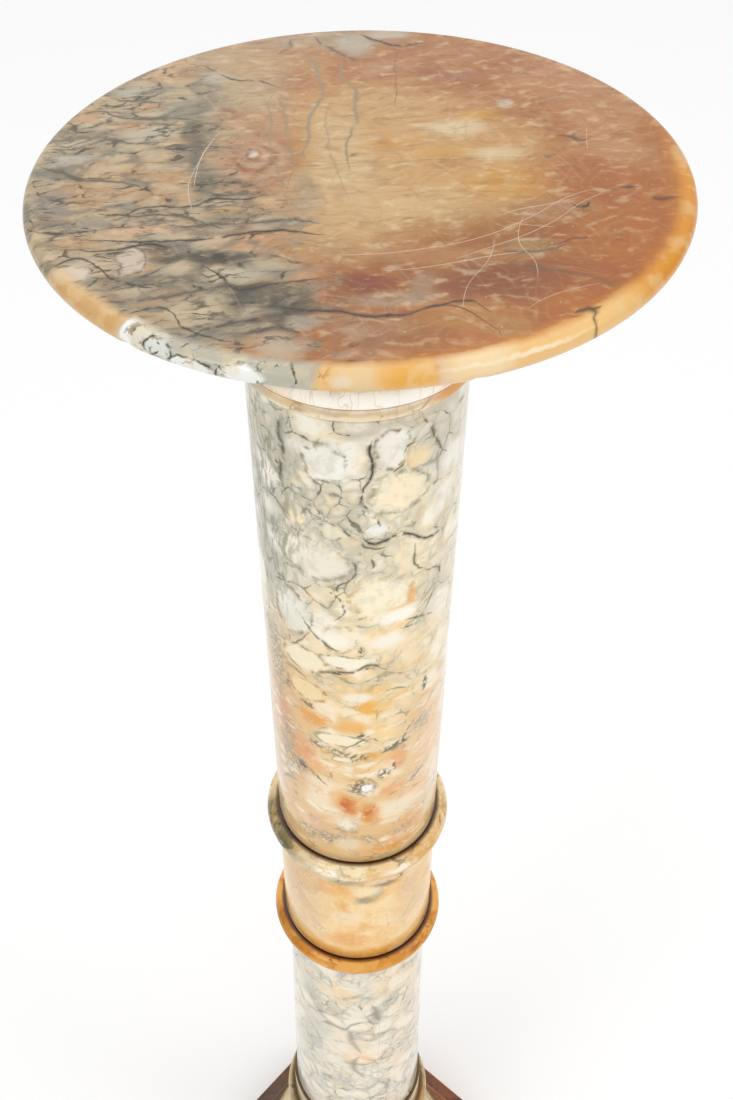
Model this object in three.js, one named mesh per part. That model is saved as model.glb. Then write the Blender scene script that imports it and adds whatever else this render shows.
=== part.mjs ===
// A marble pedestal column: a round top on a turned shaft of stacked stones, on an eight-sided plinth.
// Millimetres, +Z up. The origin is the middle of the plinth's underside. One flat of the plinth faces -Y.
import * as THREE from 'three';

// Driving dimensions, from the top down
const topDiameter = 280;
const topThickness = 9;
const topNoseDepth = topThickness / 2;  // how far the half-round edge reaches in from the rim

const capitalLipDiameter = 184;     // the flare's widest part, under the top
const capitalLipHeight = 6;
const capitalFlareHeight = 56;
const capitalNeckDiameter = 106;    // the narrowest part of the flare, just above the bead
const capitalBeadDiameter = 119;
const capitalBeadHeight = 11;
const capitalBandDiameter = 115;    // the plain band under the bead
const capitalBandHeight = 9;
const capitalBandEase = 3;          // rounding of the band's lower edge

const upperShaftTopDiameter = 107;
const upperShaftFootDiameter = 101.2;
const upperShaftHeight = 359;

const upperRingDiameter = 117.8;
const upperRingBeadHeight = 14.2;
const upperRingFilletDiameter = 109;
const upperRingFilletHeight = 7.8;

const drumDiameter = 102.4;
const drumHeight = 98;

const lowerRingDiameter = 117;
const lowerRingBeadHeight = 11.6;
const lowerRingFilletDiameter = 108;
const lowerRingFilletHeight = 5.4;

const lowerShaftTopDiameter = 96.2;
const lowerShaftFootDiameter = 102.6;
const lowerShaftHeight = 257;

const baseBandDiameter = 107;       // the plain band that the lower shaft stands on
const baseBandHeight = 28;
const baseBeadDiameter = 120.4;
const baseBeadHeight = 18;
const baseFilletDiameter = 112;
const baseFilletHeight = 6;
const baseNeckDiameter = 104;       // the narrowest part of the bell
const baseBellHeight = 113;
const baseLipDiameter = 168;
const baseLipHeight = 10;

const plinthStepAcrossFlats = 180;
const plinthStepHeight = 17;
const plinthSlabAcrossFlats = 214;
const plinthSlabHeight = 34;
const plinthEdgeEase = 3;           // the small bevel along the plinth's upper edges

const quirk = 1;                    // how far a bead is undercut where a plain member meets it

// How finely the round forms are cut
const roundSides = 60;
const plinthSides = 8;
const beadSteps = 6;
const noseSteps = 8;
const sweepSteps = 6;

// The colours of the different stones
const stones = {
  honey: new THREE.MeshStandardMaterial({ color: 0xd9944c, roughness: 0.25, metalness: 0 }),
  cream: new THREE.MeshStandardMaterial({ color: 0xe6dac4, roughness: 0.25, metalness: 0 }),
  breccia: new THREE.MeshStandardMaterial({ color: 0xd9c8a6, roughness: 0.25, metalness: 0 }),
  olive: new THREE.MeshStandardMaterial({ color: 0xc9a66b, roughness: 0.25, metalness: 0 }),
  peach: new THREE.MeshStandardMaterial({ color: 0xeebe82, roughness: 0.25, metalness: 0 }),
  amber: new THREE.MeshStandardMaterial({ color: 0xbd7a2c, roughness: 0.25, metalness: 0 }),
  pale: new THREE.MeshStandardMaterial({ color: 0xded3c0, roughness: 0.25, metalness: 0 }),
  tan: new THREE.MeshStandardMaterial({ color: 0xb59563, roughness: 0.25, metalness: 0 }),
  brown: new THREE.MeshStandardMaterial({ color: 0x86603f, roughness: 0.3, metalness: 0 }),
};

// A half outline, drawn from the axis at the bottom to the axis at the top.
// Each call adds one member above the last one.
class HalfOutline {
  constructor() {
    this.points = [new THREE.Vector2(0, 0)];
    this.height = 0;
  }

  // A point at this radius, as far above the last member as asked.
  to(radius, rise = 0) {
    this.height += rise;
    this.points.push(new THREE.Vector2(radius, this.height));
    return this;
  }

  // A straight-sided member.
  band(radius, rise) {
    return this.to(radius).to(radius, rise);
  }

  // The points of a curve, with its ends, added to the outline.
  follow(curve, steps) {
    for (const point of curve.getPoints(steps)) {
      this.points.push(point);
    }
    this.height = this.points[this.points.length - 1].y;
    return this;
  }

  // A half-round member that bulges from the inner radius to the outer one.
  bead(inner, outer, rise, steps = beadSteps) {
    const middle = this.height + rise / 2;
    const start = -Math.PI / 2;
    return this.follow(new THREE.EllipseCurve(inner, middle, outer - inner, rise / 2, start, -start), steps);
  }

  // A hollow sweep that leaves the lower radius and meets the upper one, as the mouth of a bell does.
  sweep(lower, upper, rise) {
    const foot = new THREE.Vector2(lower, this.height);
    const head = new THREE.Vector2(upper, this.height + rise);
    const bend = new THREE.Vector2(Math.min(lower, upper), lower < upper ? head.y - rise / 4 : foot.y + rise / 4);
    return this.follow(new THREE.QuadraticBezierCurve(foot, bend, head), sweepSteps);
  }

  close() {
    return this.to(0);
  }
}

// The solid that an outline makes when it is turned about the upright axis.
function turned(outline, sides = roundSides, startAngle = 0) {
  const geometry = new THREE.LatheGeometry(outline.points, sides, startAngle);
  geometry.rotateX(Math.PI / 2);
  return geometry;
}

const pedestal = new THREE.Group();
let standingHeight = 0;

// Stands a piece on the one before it.
function stack(name, outline, stone, sides, startAngle) {
  const piece = new THREE.Mesh(turned(outline, sides, startAngle), stone);
  piece.name = name;
  piece.position.z = standingHeight;
  standingHeight += outline.height;
  pedestal.add(piece);
}

// A straight or slightly tapering length of shaft.
function shaft(footDiameter, headDiameter, height) {
  return new HalfOutline().to(footDiameter / 2).to(headDiameter / 2, height).close();
}

// A ring between two lengths of shaft: a small fillet below and a full bead above.
// The bead starts from the shaft that stands on it.
function ring(filletDiameter, filletHeight, beadDiameter, beadHeight, shaftDiameter) {
  return new HalfOutline()
    .band(filletDiameter / 2, filletHeight)
    .to(filletDiameter / 2 - quirk)
    .bead(shaftDiameter / 2, beadDiameter / 2, beadHeight)
    .close();
}

// The plinth is one block with eight sides: a low slab and a smaller step, each with a bevelled upper edge.
function plinthOutline() {
  const cornerPerFlat = 1 / Math.cos(Math.PI / plinthSides);
  const slab = plinthSlabAcrossFlats / 2;
  const step = plinthStepAcrossFlats / 2;
  return new HalfOutline()
    .band(slab * cornerPerFlat, plinthSlabHeight - plinthEdgeEase)
    .to((slab - plinthEdgeEase) * cornerPerFlat, plinthEdgeEase)
    .band(step * cornerPerFlat, plinthStepHeight - plinthEdgeEase)
    .to((step - plinthEdgeEase) * cornerPerFlat, plinthEdgeEase)
    .close();
}

// The base is one turned stone: a lip on the plinth, a bell, and a fillet, a bead and a band at its neck.
function baseOutline() {
  return new HalfOutline()
    .band(baseLipDiameter / 2, baseLipHeight)
    .sweep(baseLipDiameter / 2 - quirk, baseNeckDiameter / 2, baseBellHeight)
    .band(baseFilletDiameter / 2, baseFilletHeight)
    .bead(baseFilletDiameter / 2 - quirk, baseBeadDiameter / 2, baseBeadHeight)
    .band(baseBandDiameter / 2, baseBandHeight)
    .close();
}

// The capital is one turned stone: a band and a bead at its neck, and a flare and a lip under the top.
function capitalOutline() {
  const band = capitalBandDiameter / 2;
  return new HalfOutline()
    .to(band - capitalBandEase)
    .to(band, capitalBandEase)
    .to(band, capitalBandHeight - capitalBandEase)
    .bead(band - quirk, capitalBeadDiameter / 2, capitalBeadHeight)
    .sweep(capitalNeckDiameter / 2, capitalLipDiameter / 2 - quirk, capitalFlareHeight)
    .band(capitalLipDiameter / 2, capitalLipHeight)
    .close();
}

// The top is a round slab with a half-round edge.
function topOutline() {
  const rim = topDiameter / 2;
  return new HalfOutline().bead(rim - topNoseDepth, rim, topThickness, noseSteps).close();
}

stack('plinth', plinthOutline(), stones.brown, plinthSides, Math.PI / plinthSides);
stack('base_moulding', baseOutline(), stones.tan);
stack('lower_shaft', shaft(lowerShaftFootDiameter, lowerShaftTopDiameter, lowerShaftHeight), stones.pale);
stack(
  'lower_ring',
  ring(lowerRingFilletDiameter, lowerRingFilletHeight, lowerRingDiameter, lowerRingBeadHeight, drumDiameter),
  stones.amber,
);
stack('middle_drum', shaft(drumDiameter, drumDiameter, drumHeight), stones.peach);
stack(
  'upper_ring',
  ring(
    upperRingFilletDiameter,
    upperRingFilletHeight,
    upperRingDiameter,
    upperRingBeadHeight,
    upperShaftFootDiameter,
  ),
  stones.olive,
);
stack('upper_shaft', shaft(upperShaftFootDiameter, upperShaftTopDiameter, upperShaftHeight), stones.breccia);
stack('capital', capitalOutline(), stones.cream);
stack('top_slab', topOutline(), stones.honey);

export default pedestal;
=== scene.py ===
"""Looks of a turned marble pedestal column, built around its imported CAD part.

Sizes are in millimetres and become metres where a mesh is made. Colours are sRGB hex values. The stones are
polished marble: lumps of cream and grey stone with grey veins in some, honey and salmon clouds in others.
"""

import logging
import math
from dataclasses import dataclass, field
from enum import Enum

import bmesh
import bpy
from mathutils import Matrix, Vector, noise


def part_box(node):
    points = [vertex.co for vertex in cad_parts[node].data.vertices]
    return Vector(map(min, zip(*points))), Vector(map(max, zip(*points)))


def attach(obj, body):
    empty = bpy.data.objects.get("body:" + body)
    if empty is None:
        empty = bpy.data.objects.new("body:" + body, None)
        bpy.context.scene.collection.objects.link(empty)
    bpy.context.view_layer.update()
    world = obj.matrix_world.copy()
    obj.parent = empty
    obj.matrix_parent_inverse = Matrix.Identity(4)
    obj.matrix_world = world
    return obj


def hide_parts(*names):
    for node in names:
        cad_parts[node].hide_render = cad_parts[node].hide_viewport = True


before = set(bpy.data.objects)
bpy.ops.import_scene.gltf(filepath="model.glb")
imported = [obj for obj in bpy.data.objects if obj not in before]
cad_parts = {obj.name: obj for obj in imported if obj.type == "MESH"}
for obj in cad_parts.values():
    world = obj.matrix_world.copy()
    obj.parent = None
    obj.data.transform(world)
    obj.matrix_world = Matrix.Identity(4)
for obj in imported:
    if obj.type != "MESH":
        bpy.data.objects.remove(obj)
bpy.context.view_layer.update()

LOG = logging.getLogger("pedestal")
MM = 0.001
VEIL = 0.035
DIRT_AND_SHADE = "#462c12"
TOP_RADIUS = 140.0
TOP_SPAN = 280.0
SHAFT_RADIUS = 52.0
WALL_SPAN = 360.0
Socket = bpy.types.NodeSocket
Feed = Socket | float | tuple


def linear(code: str) -> tuple[float, float, float, float]:
    """Turns an sRGB hex colour to linear red, green, blue and alpha.

    Args:
        code: the colour, such as "#c0906c".

    Returns:
        The linear colour with an alpha of 1.
    """
    parts = [int(code[start : start + 2], 16) / 255 for start in (1, 3, 5)]
    red, green, blue = (p / 12.92 if p <= 0.04045 else ((p + 0.055) / 1.055) ** 2.4 for p in parts)
    return red, green, blue, 1.0


def add_node(
    tree: bpy.types.NodeTree, kind: str, feeds: dict, out: int | str = 0, **settings: object
) -> Socket:
    """Adds a node with its settings and links.

    Args:
        tree: the node tree.
        kind: the node's type, without its ShaderNode prefix.
        feeds: a socket or a value for each input that isn't left as it is.
        out: the output to give back.
        **settings: the node's own properties.

    Returns:
        That output.
    """
    node = tree.nodes.new("ShaderNode" + kind)
    for name, value in settings.items():
        setattr(node, name, value)
    for key, value in feeds.items():
        if isinstance(value, bpy.types.NodeSocket):
            tree.links.new(value, node.inputs[key])
        else:
            node.inputs[key].default_value = value
    return node.outputs[out]


# Shapes


class Outline:
    """Half of a turned stone's section, drawn upwards from the axis, in millimetres."""

    def __init__(self) -> None:
        """Starts at the axis, at height 0."""
        self.points = [(0.0, 0.0)]
        self.height = 0.0

    def to(self, radius: float, rise: float = 0.0) -> "Outline":
        """Adds a point.

        Args:
            radius: its distance from the axis.
            rise: how far it is above the last member.

        Returns:
            The outline, for the next member.
        """
        self.height += rise
        self.points.append((radius, self.height))
        return self

    def band(self, radius: float, rise: float) -> "Outline":
        """Adds a straight-sided member of this radius and height, and returns the outline."""
        return self.to(radius).to(radius, rise)

    def bead(self, inner: float, outer: float, rise: float, steps: int = 28) -> "Outline":
        """Adds a half-round member that bulges outwards.

        Args:
            inner: the radius where it starts and ends.
            outer: its widest radius.
            rise: its height.
            steps: how many straight pieces its curve is cut into.

        Returns:
            The outline, for the next member.
        """
        foot = self.height
        for step in range(steps + 1):
            turn = math.pi * step / steps
            radius = inner + (outer - inner) * math.sin(turn)
            self.points.append((radius, foot + rise * (1 - math.cos(turn)) / 2))
        self.height = foot + rise
        return self

    def sweep(self, lower: float, upper: float, rise: float, steps: int = 28) -> "Outline":
        """Adds a hollow curve, steep at its narrow end, as the mouth of a bell is.

        Args:
            lower: the radius at its foot.
            upper: the radius at its head.
            rise: its height.
            steps: how many straight pieces its curve is cut into.

        Returns:
            The outline, for the next member.
        """
        foot = self.height
        bend = (min(lower, upper), foot + (rise * 0.75 if lower < upper else rise * 0.25))
        for step in range(steps + 1):
            t = step / steps
            ends = ((1 - t) ** 2, 2 * t * (1 - t), t**2)
            radius = ends[0] * lower + ends[1] * bend[0] + ends[2] * upper
            self.points.append((radius, ends[0] * foot + ends[1] * bend[1] + ends[2] * (foot + rise)))
        self.height = foot + rise
        return self

    def close(self) -> "Outline":
        """Goes back to the axis, and returns the outline."""
        return self.to(0.0)

    def eased(self, arris: float, steps: int = 4) -> list[Vector]:
        """Gives the outline with its sharp corners worn round.

        Args:
            arris: how far along each side a corner's rounding starts.
            steps: how many straight pieces a rounding is cut into.

        Returns:
            The points, without repeats, from the axis to the axis.
        """
        corners = [Vector(self.points[0])]
        for point in self.points[1:]:
            if (Vector(point) - corners[-1]).length > 1e-4:
                corners.append(Vector(point))
        smooth = [corners[0]]
        for before, here, after in zip(corners, corners[1:], corners[2:]):
            back, ahead = before - here, after - here
            if back.angle(ahead) > math.radians(150):
                smooth.append(here)
                continue
            cut = min(arris, back.length * 0.45, ahead.length * 0.45)
            start, end = here + back.normalized() * cut, here + ahead.normalized() * cut
            for step in range(steps + 1):
                t = step / steps
                smooth.append(start * (1 - t) ** 2 + here * 2 * t * (1 - t) + end * t**2)
        return smooth + [corners[-1]]


@dataclass(frozen=True)
class Chip:
    """A small break in an edge: where it is, how far it reaches and how deep it goes."""

    azimuth: float
    radius: float
    height: float
    reach: float
    depth: float


@dataclass
class Stone:
    """One stone of the column, turned about the upright axis, that takes the place of a CAD node."""

    node: str
    slot: str
    sides: int = 256
    arris: float = 0.7
    start: float = 0.0
    chips: tuple[Chip, ...] = ()

    def outline(self) -> Outline:
        """Gives the stone's half section; each stone has its own."""
        raise NotImplementedError

    def finish(self) -> bpy.types.Material:
        """Gives the stone's material; each stone has its own."""
        raise NotImplementedError

    @property
    def foot(self) -> float:
        """The height of the stone's underside, as the CAD has it."""
        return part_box(self.node)[0].z / MM

    @property
    def rise(self) -> float:
        """The stone's height, as the CAD has it."""
        low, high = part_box(self.node)
        return (high.z - low.z) / MM

    @property
    def width(self) -> float:
        """The stone's greatest width, as the CAD has it."""
        low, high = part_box(self.node)
        return (high.x - low.x) / MM

    def build(self) -> bpy.types.Object:
        """Turns the outline to a mesh, chips it, dresses it and puts it on the frame.

        Returns:
            The finished piece.
        """
        mesh = bmesh.new()
        turn, foot = Matrix.Rotation(math.radians(self.start), 4, "Z"), self.foot
        section = self.outline().eased(self.arris)
        spots = [turn @ Vector((point.x, 0, point.y + foot)) * MM for point in section]
        verts = [mesh.verts.new(spot) for spot in spots]
        edges = [mesh.edges.new(pair) for pair in zip(verts, verts[1:])]
        bmesh.ops.spin(
            mesh,
            geom=verts + edges,
            cent=(0, 0, 0),
            axis=(0, 0, 1),
            angle=2 * math.pi,
            steps=self.sides,
            use_merge=True,
        )
        bmesh.ops.remove_doubles(mesh, verts=mesh.verts, dist=1e-6)
        self.shape(mesh)
        bmesh.ops.recalc_face_normals(mesh, faces=mesh.faces)
        self.wear(mesh)
        for face in mesh.faces:
            face.smooth = True
        data = bpy.data.meshes.new(self.node + "_stone")
        mesh.to_mesh(data)
        mesh.free()
        data.set_sharp_from_angle(angle=math.radians(40))
        piece = bpy.data.objects.new(self.node + "_stone", data)
        bpy.context.scene.collection.objects.link(piece)
        data.materials.append(self.finish())
        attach(piece, "root")
        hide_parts(self.node)
        LOG.info("%s: %d faces", self.node, len(data.polygons))
        return piece

    def shape(self, mesh: bmesh.types.BMesh) -> None:
        """Works the turned mesh further, where a stone needs it."""

    def wear(self, mesh: bmesh.types.BMesh) -> None:
        """Knocks the chips out of the edges.

        Args:
            mesh: the stone's mesh, with its normals pointing outwards.
        """
        mesh.normal_update()
        for chip in self.chips:
            turn = math.radians(chip.azimuth)
            spot = Vector((chip.radius * math.cos(turn), chip.radius * math.sin(turn), chip.height)) * MM
            moves = []
            for vert in mesh.verts:
                share = 1 - (vert.co - spot).length / (chip.reach * MM)
                if share > 0:
                    ragged = 0.75 + 0.5 * noise.noise(vert.co / MM * 0.9)
                    moves.append((vert, vert.normal * (-chip.depth * MM * min(1, share * 1.8) * ragged)))
            for vert, move in moves:
                vert.co += move


# Materials


class Run(Enum):
    """Which way a drawn vein runs on a face."""

    ACROSS = "across"
    UP = "up"


@dataclass(frozen=True)
class Patch:
    """A soft-edged patch of another colour: its middle and its reach on a face, in millimetres."""

    colour: str
    x: float
    y: float
    across: float
    up: float
    strength: float = 1.0
    soft: float = 0.55
    outline: str = ""


@dataclass(frozen=True)
class Vein:
    """A drawn vein or scratch: points with its place along, its place away and its half width, in mm."""

    colour: str
    points: tuple[tuple[float, float, float], ...]
    run: Run = Run.ACROSS
    strength: float = 1.0


@dataclass
class Face:
    """Flat coordinates on a stone's shown face, in millimetres, and the same from 0 to 1 over a span."""

    spot: Socket
    x: Socket
    y: Socket
    span: float
    middle: tuple[float, float]


class Marble:
    """A marble being painted: its nodes, the place in millimetres that its patterns read, and its colour."""

    def __init__(self, name: str, ground: str) -> None:
        """Makes the material.

        Args:
            name: the material's name.
            ground: the colour of the stone before its clouds and veins.
        """
        self.material = bpy.data.materials.new(name)
        self.material.use_nodes = True
        self.tree = self.material.node_tree
        self.shader = next(node for node in self.tree.nodes if node.type == "BSDF_PRINCIPLED")
        spot = self.add("TexCoord", {}, "Object")
        self.place = self.add("VectorMath", {0: spot, 1: (1 / MM,) * 3}, operation="MULTIPLY")
        self.colour: Feed = linear(ground)
        self.sunk: list[tuple[Socket, float]] = []

    def add(self, kind: str, feeds: dict, out: int | str = 0, **settings: object) -> Socket:
        """Adds a node to the marble's tree, and returns the output asked for."""
        return add_node(self.tree, kind, feeds, out, **settings)

    def paint(self, mask: Socket, colour: Feed | str, strength: float = 1.0) -> None:
        """Lays a colour over the stone where a mask shows it.

        Args:
            mask: 0 to 1.
            colour: a hex colour or a colour socket.
            strength: how much of it the mask lays on at most.
        """
        if strength != 1.0:
            mask = self.add("Math", {0: mask, 1: strength}, operation="MULTIPLY")
        over = linear(colour) if isinstance(colour, str) else colour
        self.colour = self.add("Mix", {0: mask, 6: self.colour, 7: over}, 2, data_type="RGBA")

    def both(self, first: Socket, second: Socket) -> Socket:
        """The part that two masks share."""
        return self.add("Math", {0: first, 1: second}, operation="MULTIPLY")

    def drift(
        self, where: Socket, size: float, amount: float, detail: float = 2.0, read: Socket | None = None
    ) -> Socket:
        """Pushes places about, so that what is drawn on them flows.

        Args:
            where: the places to push.
            size: how far apart the pushes are.
            amount: how far they push at most, about.
            detail: how many finer pushes are added.
            read: the places that the pushes are read at, if they aren't the stone's own.

        Returns:
            The pushed places.
        """
        source = self.place if read is None else read
        spot = self.add("VectorMath", {0: source, 1: (1 / size,) * 3}, operation="MULTIPLY")
        cloud = self.add("TexNoise", {"Vector": spot, "Scale": 1.0, "Detail": detail}, "Color")
        push = self.add("VectorMath", {0: cloud, 1: (-0.5,) * 3}, operation="ADD")
        feeds = {0: push, 1: (amount * 2,) * 3, 2: where}
        return self.add("VectorMath", feeds, operation="MULTIPLY_ADD")

    def clouds(
        self,
        where: Socket,
        size: float,
        low: float = 0.42,
        high: float = 0.62,
        stretch: tuple[float, float, float] = (1.0, 1.0, 1.0),
        detail: float = 3.0,
        bend: float = 0.0,
    ) -> Socket:
        """Gives a mask of soft clouds.

        Args:
            where: the places it is read at.
            size: the clouds' size.
            low: the noise level where they start.
            high: the noise level where they are full.
            stretch: how many times longer they are along each axis.
            detail: how many finer clouds are added.
            bend: how much the clouds curl.

        Returns:
            The mask, 0 to 1.
        """
        scale = tuple(1 / (size * part) for part in stretch)
        spot = self.add("VectorMath", {0: where, 1: scale}, operation="MULTIPLY")
        feeds = {"Vector": spot, "Scale": 1.0, "Detail": detail, "Roughness": 0.55, "Distortion": bend}
        feeds = {"Value": self.add("TexNoise", feeds), "From Min": low, "From Max": high}
        return self.add("MapRange", feeds, interpolation_type="SMOOTHSTEP")

    def wisps(
        self,
        where: Socket,
        size: float,
        width: float,
        stretch: tuple[float, float, float] = (1.0, 1.0, 1.0),
        detail: float = 2.0,
    ) -> Socket:
        """Gives a mask of thin flowing lines, where a noise crosses its middle level.

        Args:
            where: the places it is read at.
            size: how far apart the lines are, about.
            width: their half width, as a share of the noise's range.
            stretch: how many times longer they are along each axis.
            detail: how ragged they are.

        Returns:
            The mask, 0 to 1.
        """
        scale = tuple(1 / (size * part) for part in stretch)
        spot = self.add("VectorMath", {0: where, 1: scale}, operation="MULTIPLY")
        cloud = self.add("TexNoise", {"Vector": spot, "Scale": 1.0, "Detail": detail, "Roughness": 0.5})
        middle = self.add("Math", {0: cloud, 1: 0.5}, operation="SUBTRACT")
        gap = self.add("Math", {0: middle}, operation="ABSOLUTE")
        feeds = {"Value": gap, "From Min": width, "From Max": 0.0}
        return self.add("MapRange", feeds, interpolation_type="SMOOTHSTEP")

    def nested(
        self, where: Socket, size: float, count: float, stretch: tuple[float, float, float] = (1.0, 1.0, 1.0)
    ) -> Socket:
        """Gives a mask of thin nested lines, one round another, as in agate.

        Args:
            where: the places it is read at.
            size: the size of the forms that the lines go round.
            count: how many lines there are from a form's middle to its edge, about twice.
            stretch: how many times longer the forms are along each axis.

        Returns:
            The mask, 0 to 1.
        """
        scale = tuple(1 / (size * part) for part in stretch)
        spot = self.add("VectorMath", {0: where, 1: scale}, operation="MULTIPLY")
        cloud = self.add("TexNoise", {"Vector": spot, "Scale": 1.0, "Detail": 1.0})
        level = self.add("Math", {0: cloud, 1: count}, operation="MULTIPLY")
        saw = self.add("Math", {0: level, 1: 0.5}, operation="PINGPONG")
        feeds = {"Value": saw, "From Min": 0.2, "From Max": 0.0}
        return self.add("MapRange", feeds, interpolation_type="SMOOTHSTEP")

    def leaning(self, where: Socket, degrees: float) -> Socket:
        """Turns places about the upright axis, so that a stretched pattern leans."""
        feeds = {"Vector": where, "Angle": math.radians(degrees)}
        return self.add("VectorRotate", feeds, rotation_type="Z_AXIS")

    def specks(self, size: float, radius: float) -> Socket:
        """Gives a mask of tiny round specks, this far apart and this large in millimetres."""
        spot = self.add("VectorMath", {0: self.place, 1: (1 / size,) * 3}, operation="MULTIPLY")
        away = self.add("TexVoronoi", {"Vector": spot, "Scale": 1.0}, "Distance", feature="F1")
        return self.add("MapRange", {"Value": away, "From Min": radius / size, "From Max": 0.0})

    def crush(
        self, where: Socket, sizes: tuple[float, float], much: Socket, tones: tuple[str, str, str, str]
    ) -> None:
        """Breaks the stone into large lumps, some whole and pale, and others crushed to small ones.

        Args:
            where: the places that the lumps are read at.
            sizes: the size of the large lumps and of the small ones.
            much: a mask of where the seams show.
            tones: the colours of a whole lump, of the blur beside a seam, of a seam and of its darkest parts.
        """
        pale, halo, seam, dark = tones
        large, small = sizes
        gap, chance = self.lumps(where, large)
        whole = self.add("MapRange", {"Value": chance, "From Min": 0.5, "From Max": 0.62})
        feeds = {"Value": gap, "From Min": large * 0.04, "From Max": large * 0.3}
        heart = self.add("MapRange", feeds, interpolation_type="SMOOTHSTEP")
        self.paint(self.both(heart, whole), pale, 0.8)
        broken = self.add("MapRange", {"Value": chance, "From Min": 0.6, "From Max": 0.42})
        broken = self.both(broken, much)
        fine, tint = self.lumps(where, small)
        light = self.add("MapRange", {"Value": tint, "From Min": 0.55, "From Max": 0.9})
        self.paint(self.both(light, broken), pale, 0.5)
        blur = self.add("MapRange", {"Value": fine, "From Min": small * 0.3, "From Max": 0.0})
        self.paint(self.both(blur, broken), halo, 0.75)
        self.paint(self.both(self.seams(fine, self.place, 9, -0.4, 0.8), broken), seam, 0.8)
        blur = self.add("MapRange", {"Value": gap, "From Min": large * 0.2, "From Max": 0.0})
        blur = self.both(blur, self.clouds(self.place, large, 0.38, 0.6))
        self.paint(self.both(blur, much), halo, 0.85)
        self.paint(self.both(self.seams(gap, self.place, 14, -0.5, 1.5), much), seam, 0.85)
        self.paint(self.both(self.seams(gap, self.place, 8, -1.0, 0.9), much), dark, 0.8)

    def lumps(
        self, where: Socket, size: float, stretch: tuple[float, float, float] = (1.0, 1.0, 1.0)
    ) -> tuple[Socket, Socket]:
        """Breaks the stone into lumps.

        Args:
            where: the places it is read at.
            size: the lumps' size.
            stretch: how many times longer they are along each axis.

        Returns:
            The distance to the nearest seam in millimetres, and a chance number from 0 to 1 for each lump.
        """
        scale = tuple(1 / (size * part) for part in stretch)
        spot = self.add("VectorMath", {0: where, 1: scale}, operation="MULTIPLY")
        share = self.add("TexVoronoi", {"Vector": spot, "Scale": 1.0}, feature="DISTANCE_TO_EDGE")
        tint = self.add("TexVoronoi", {"Vector": spot, "Scale": 1.0}, "Color", feature="F1")
        chance = self.add("SeparateColor", {0: tint}, 0)
        return self.add("Math", {0: share, 1: size}, operation="MULTIPLY"), chance

    def seams(self, gap: Socket, where: Socket, size: float, thin: float, thick: float) -> Socket:
        """Gives a mask of the veins along the lumps' seams, which swell and fade.

        Args:
            gap: the distance to the nearest seam.
            where: the places the swelling is read at.
            size: how far apart the swellings are.
            thin: the half width where a vein is thinnest, below 0 where it vanishes.
            thick: the half width where it is thickest.

        Returns:
            The mask, 0 to 1.
        """
        spot = self.add("VectorMath", {0: where, 1: (1 / size,) * 3}, operation="MULTIPLY")
        cloud = self.add("TexNoise", {"Vector": spot, "Scale": 1.0, "Detail": 3.0})
        feeds = {"Value": cloud, "From Min": 0.34, "From Max": 0.68, "To Min": thin, "To Max": thick}
        width = self.add("MapRange", feeds)
        share = self.add("Math", {0: gap, 1: width}, operation="SUBTRACT")
        feeds = {"Value": share, "From Min": 0.0, "From Max": -max(0.25, thick * 0.6)}
        return self.add("MapRange", feeds, interpolation_type="SMOOTHSTEP")

    def patch(self, spot: Socket, patch: Patch, within: Socket | None = None) -> None:
        """Paints a patch, with a thin broken outline where it has one.

        Args:
            spot: flat coordinates on the face.
            patch: what to paint.
            within: a mask that the patch stays inside.
        """
        scale = (1 / patch.across, 1 / patch.up, 0)
        shift = (-patch.x / patch.across, -patch.y / patch.up, 0)
        share = self.add("VectorMath", {0: spot, 1: scale, 2: shift}, operation="MULTIPLY_ADD")
        reach = self.add("VectorMath", {0: share}, "Value", operation="LENGTH")
        feeds = {"Value": reach, "From Min": 1 + patch.soft, "From Max": 1 - patch.soft}
        feeds["To Max"] = patch.strength
        mask = self.add("MapRange", feeds, interpolation_type="SMOOTHSTEP")
        self.paint(self.both(mask, within) if within else mask, patch.colour)
        if patch.outline:
            edge = self.add("Math", {0: reach, 1: 1.0}, operation="SUBTRACT")
            side = self.add("Math", {0: edge}, operation="ABSOLUTE")
            ring = self.add("MapRange", {"Value": side, "From Min": 0.2, "From Max": 0.0})
            ring = self.both(ring, self.clouds(self.place, 5, 0.4, 0.6))
            self.paint(self.both(ring, within) if within else ring, patch.outline)

    def vein(self, face: Face, vein: Vein, reach: float = 2.6, fall: float = 2.4) -> Socket:
        """Draws a vein that follows its points, dark in the middle and blurred at its sides.

        Args:
            face: the face it is drawn on.
            vein: what to draw.
            reach: how many half widths its blur reaches.
            fall: how fast it fades sideways.

        Returns:
            Its mask, 0 to 1.
        """
        upright = vein.run is Run.UP
        along, away = (face.y, face.x) if upright else (face.x, face.y)
        first, second = (face.middle[1], face.middle[0]) if upright else face.middle
        course = [((s - first) / face.span + 0.5, (t - second) / face.span + 0.5) for s, t, _ in vein.points]
        girth = [(s, max(w / face.span, 1e-5)) for (s, _), (_, _, w) in zip(course, vein.points)]
        lines = []
        for points in (course, girth):
            line = self.add("FloatCurve", {"Value": along})
            line.node.mapping.extend = "HORIZONTAL"
            curve = line.node.mapping.curves[0]
            for knot, place in zip(list(curve.points), (points[0], points[-1])):
                knot.location = place
            for place in points[1:-1]:
                curve.points.new(*place)
            for knot in curve.points:
                knot.handle_type = "AUTO_CLAMPED"
            line.node.mapping.update()
            lines.append(line)
        shift = self.add("Math", {0: away, 1: lines[0]}, operation="SUBTRACT")
        gap = self.add("Math", {0: shift}, operation="ABSOLUTE")
        share = self.add("Math", {0: gap, 1: lines[1]}, operation="DIVIDE")
        present = self.add("Math", {0: lines[1], 1: 0.12 / face.span}, operation="GREATER_THAN")
        fade = self.add("MapRange", {"Value": share, "From Min": reach, "From Max": 0.15, "To Max": present})
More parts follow.
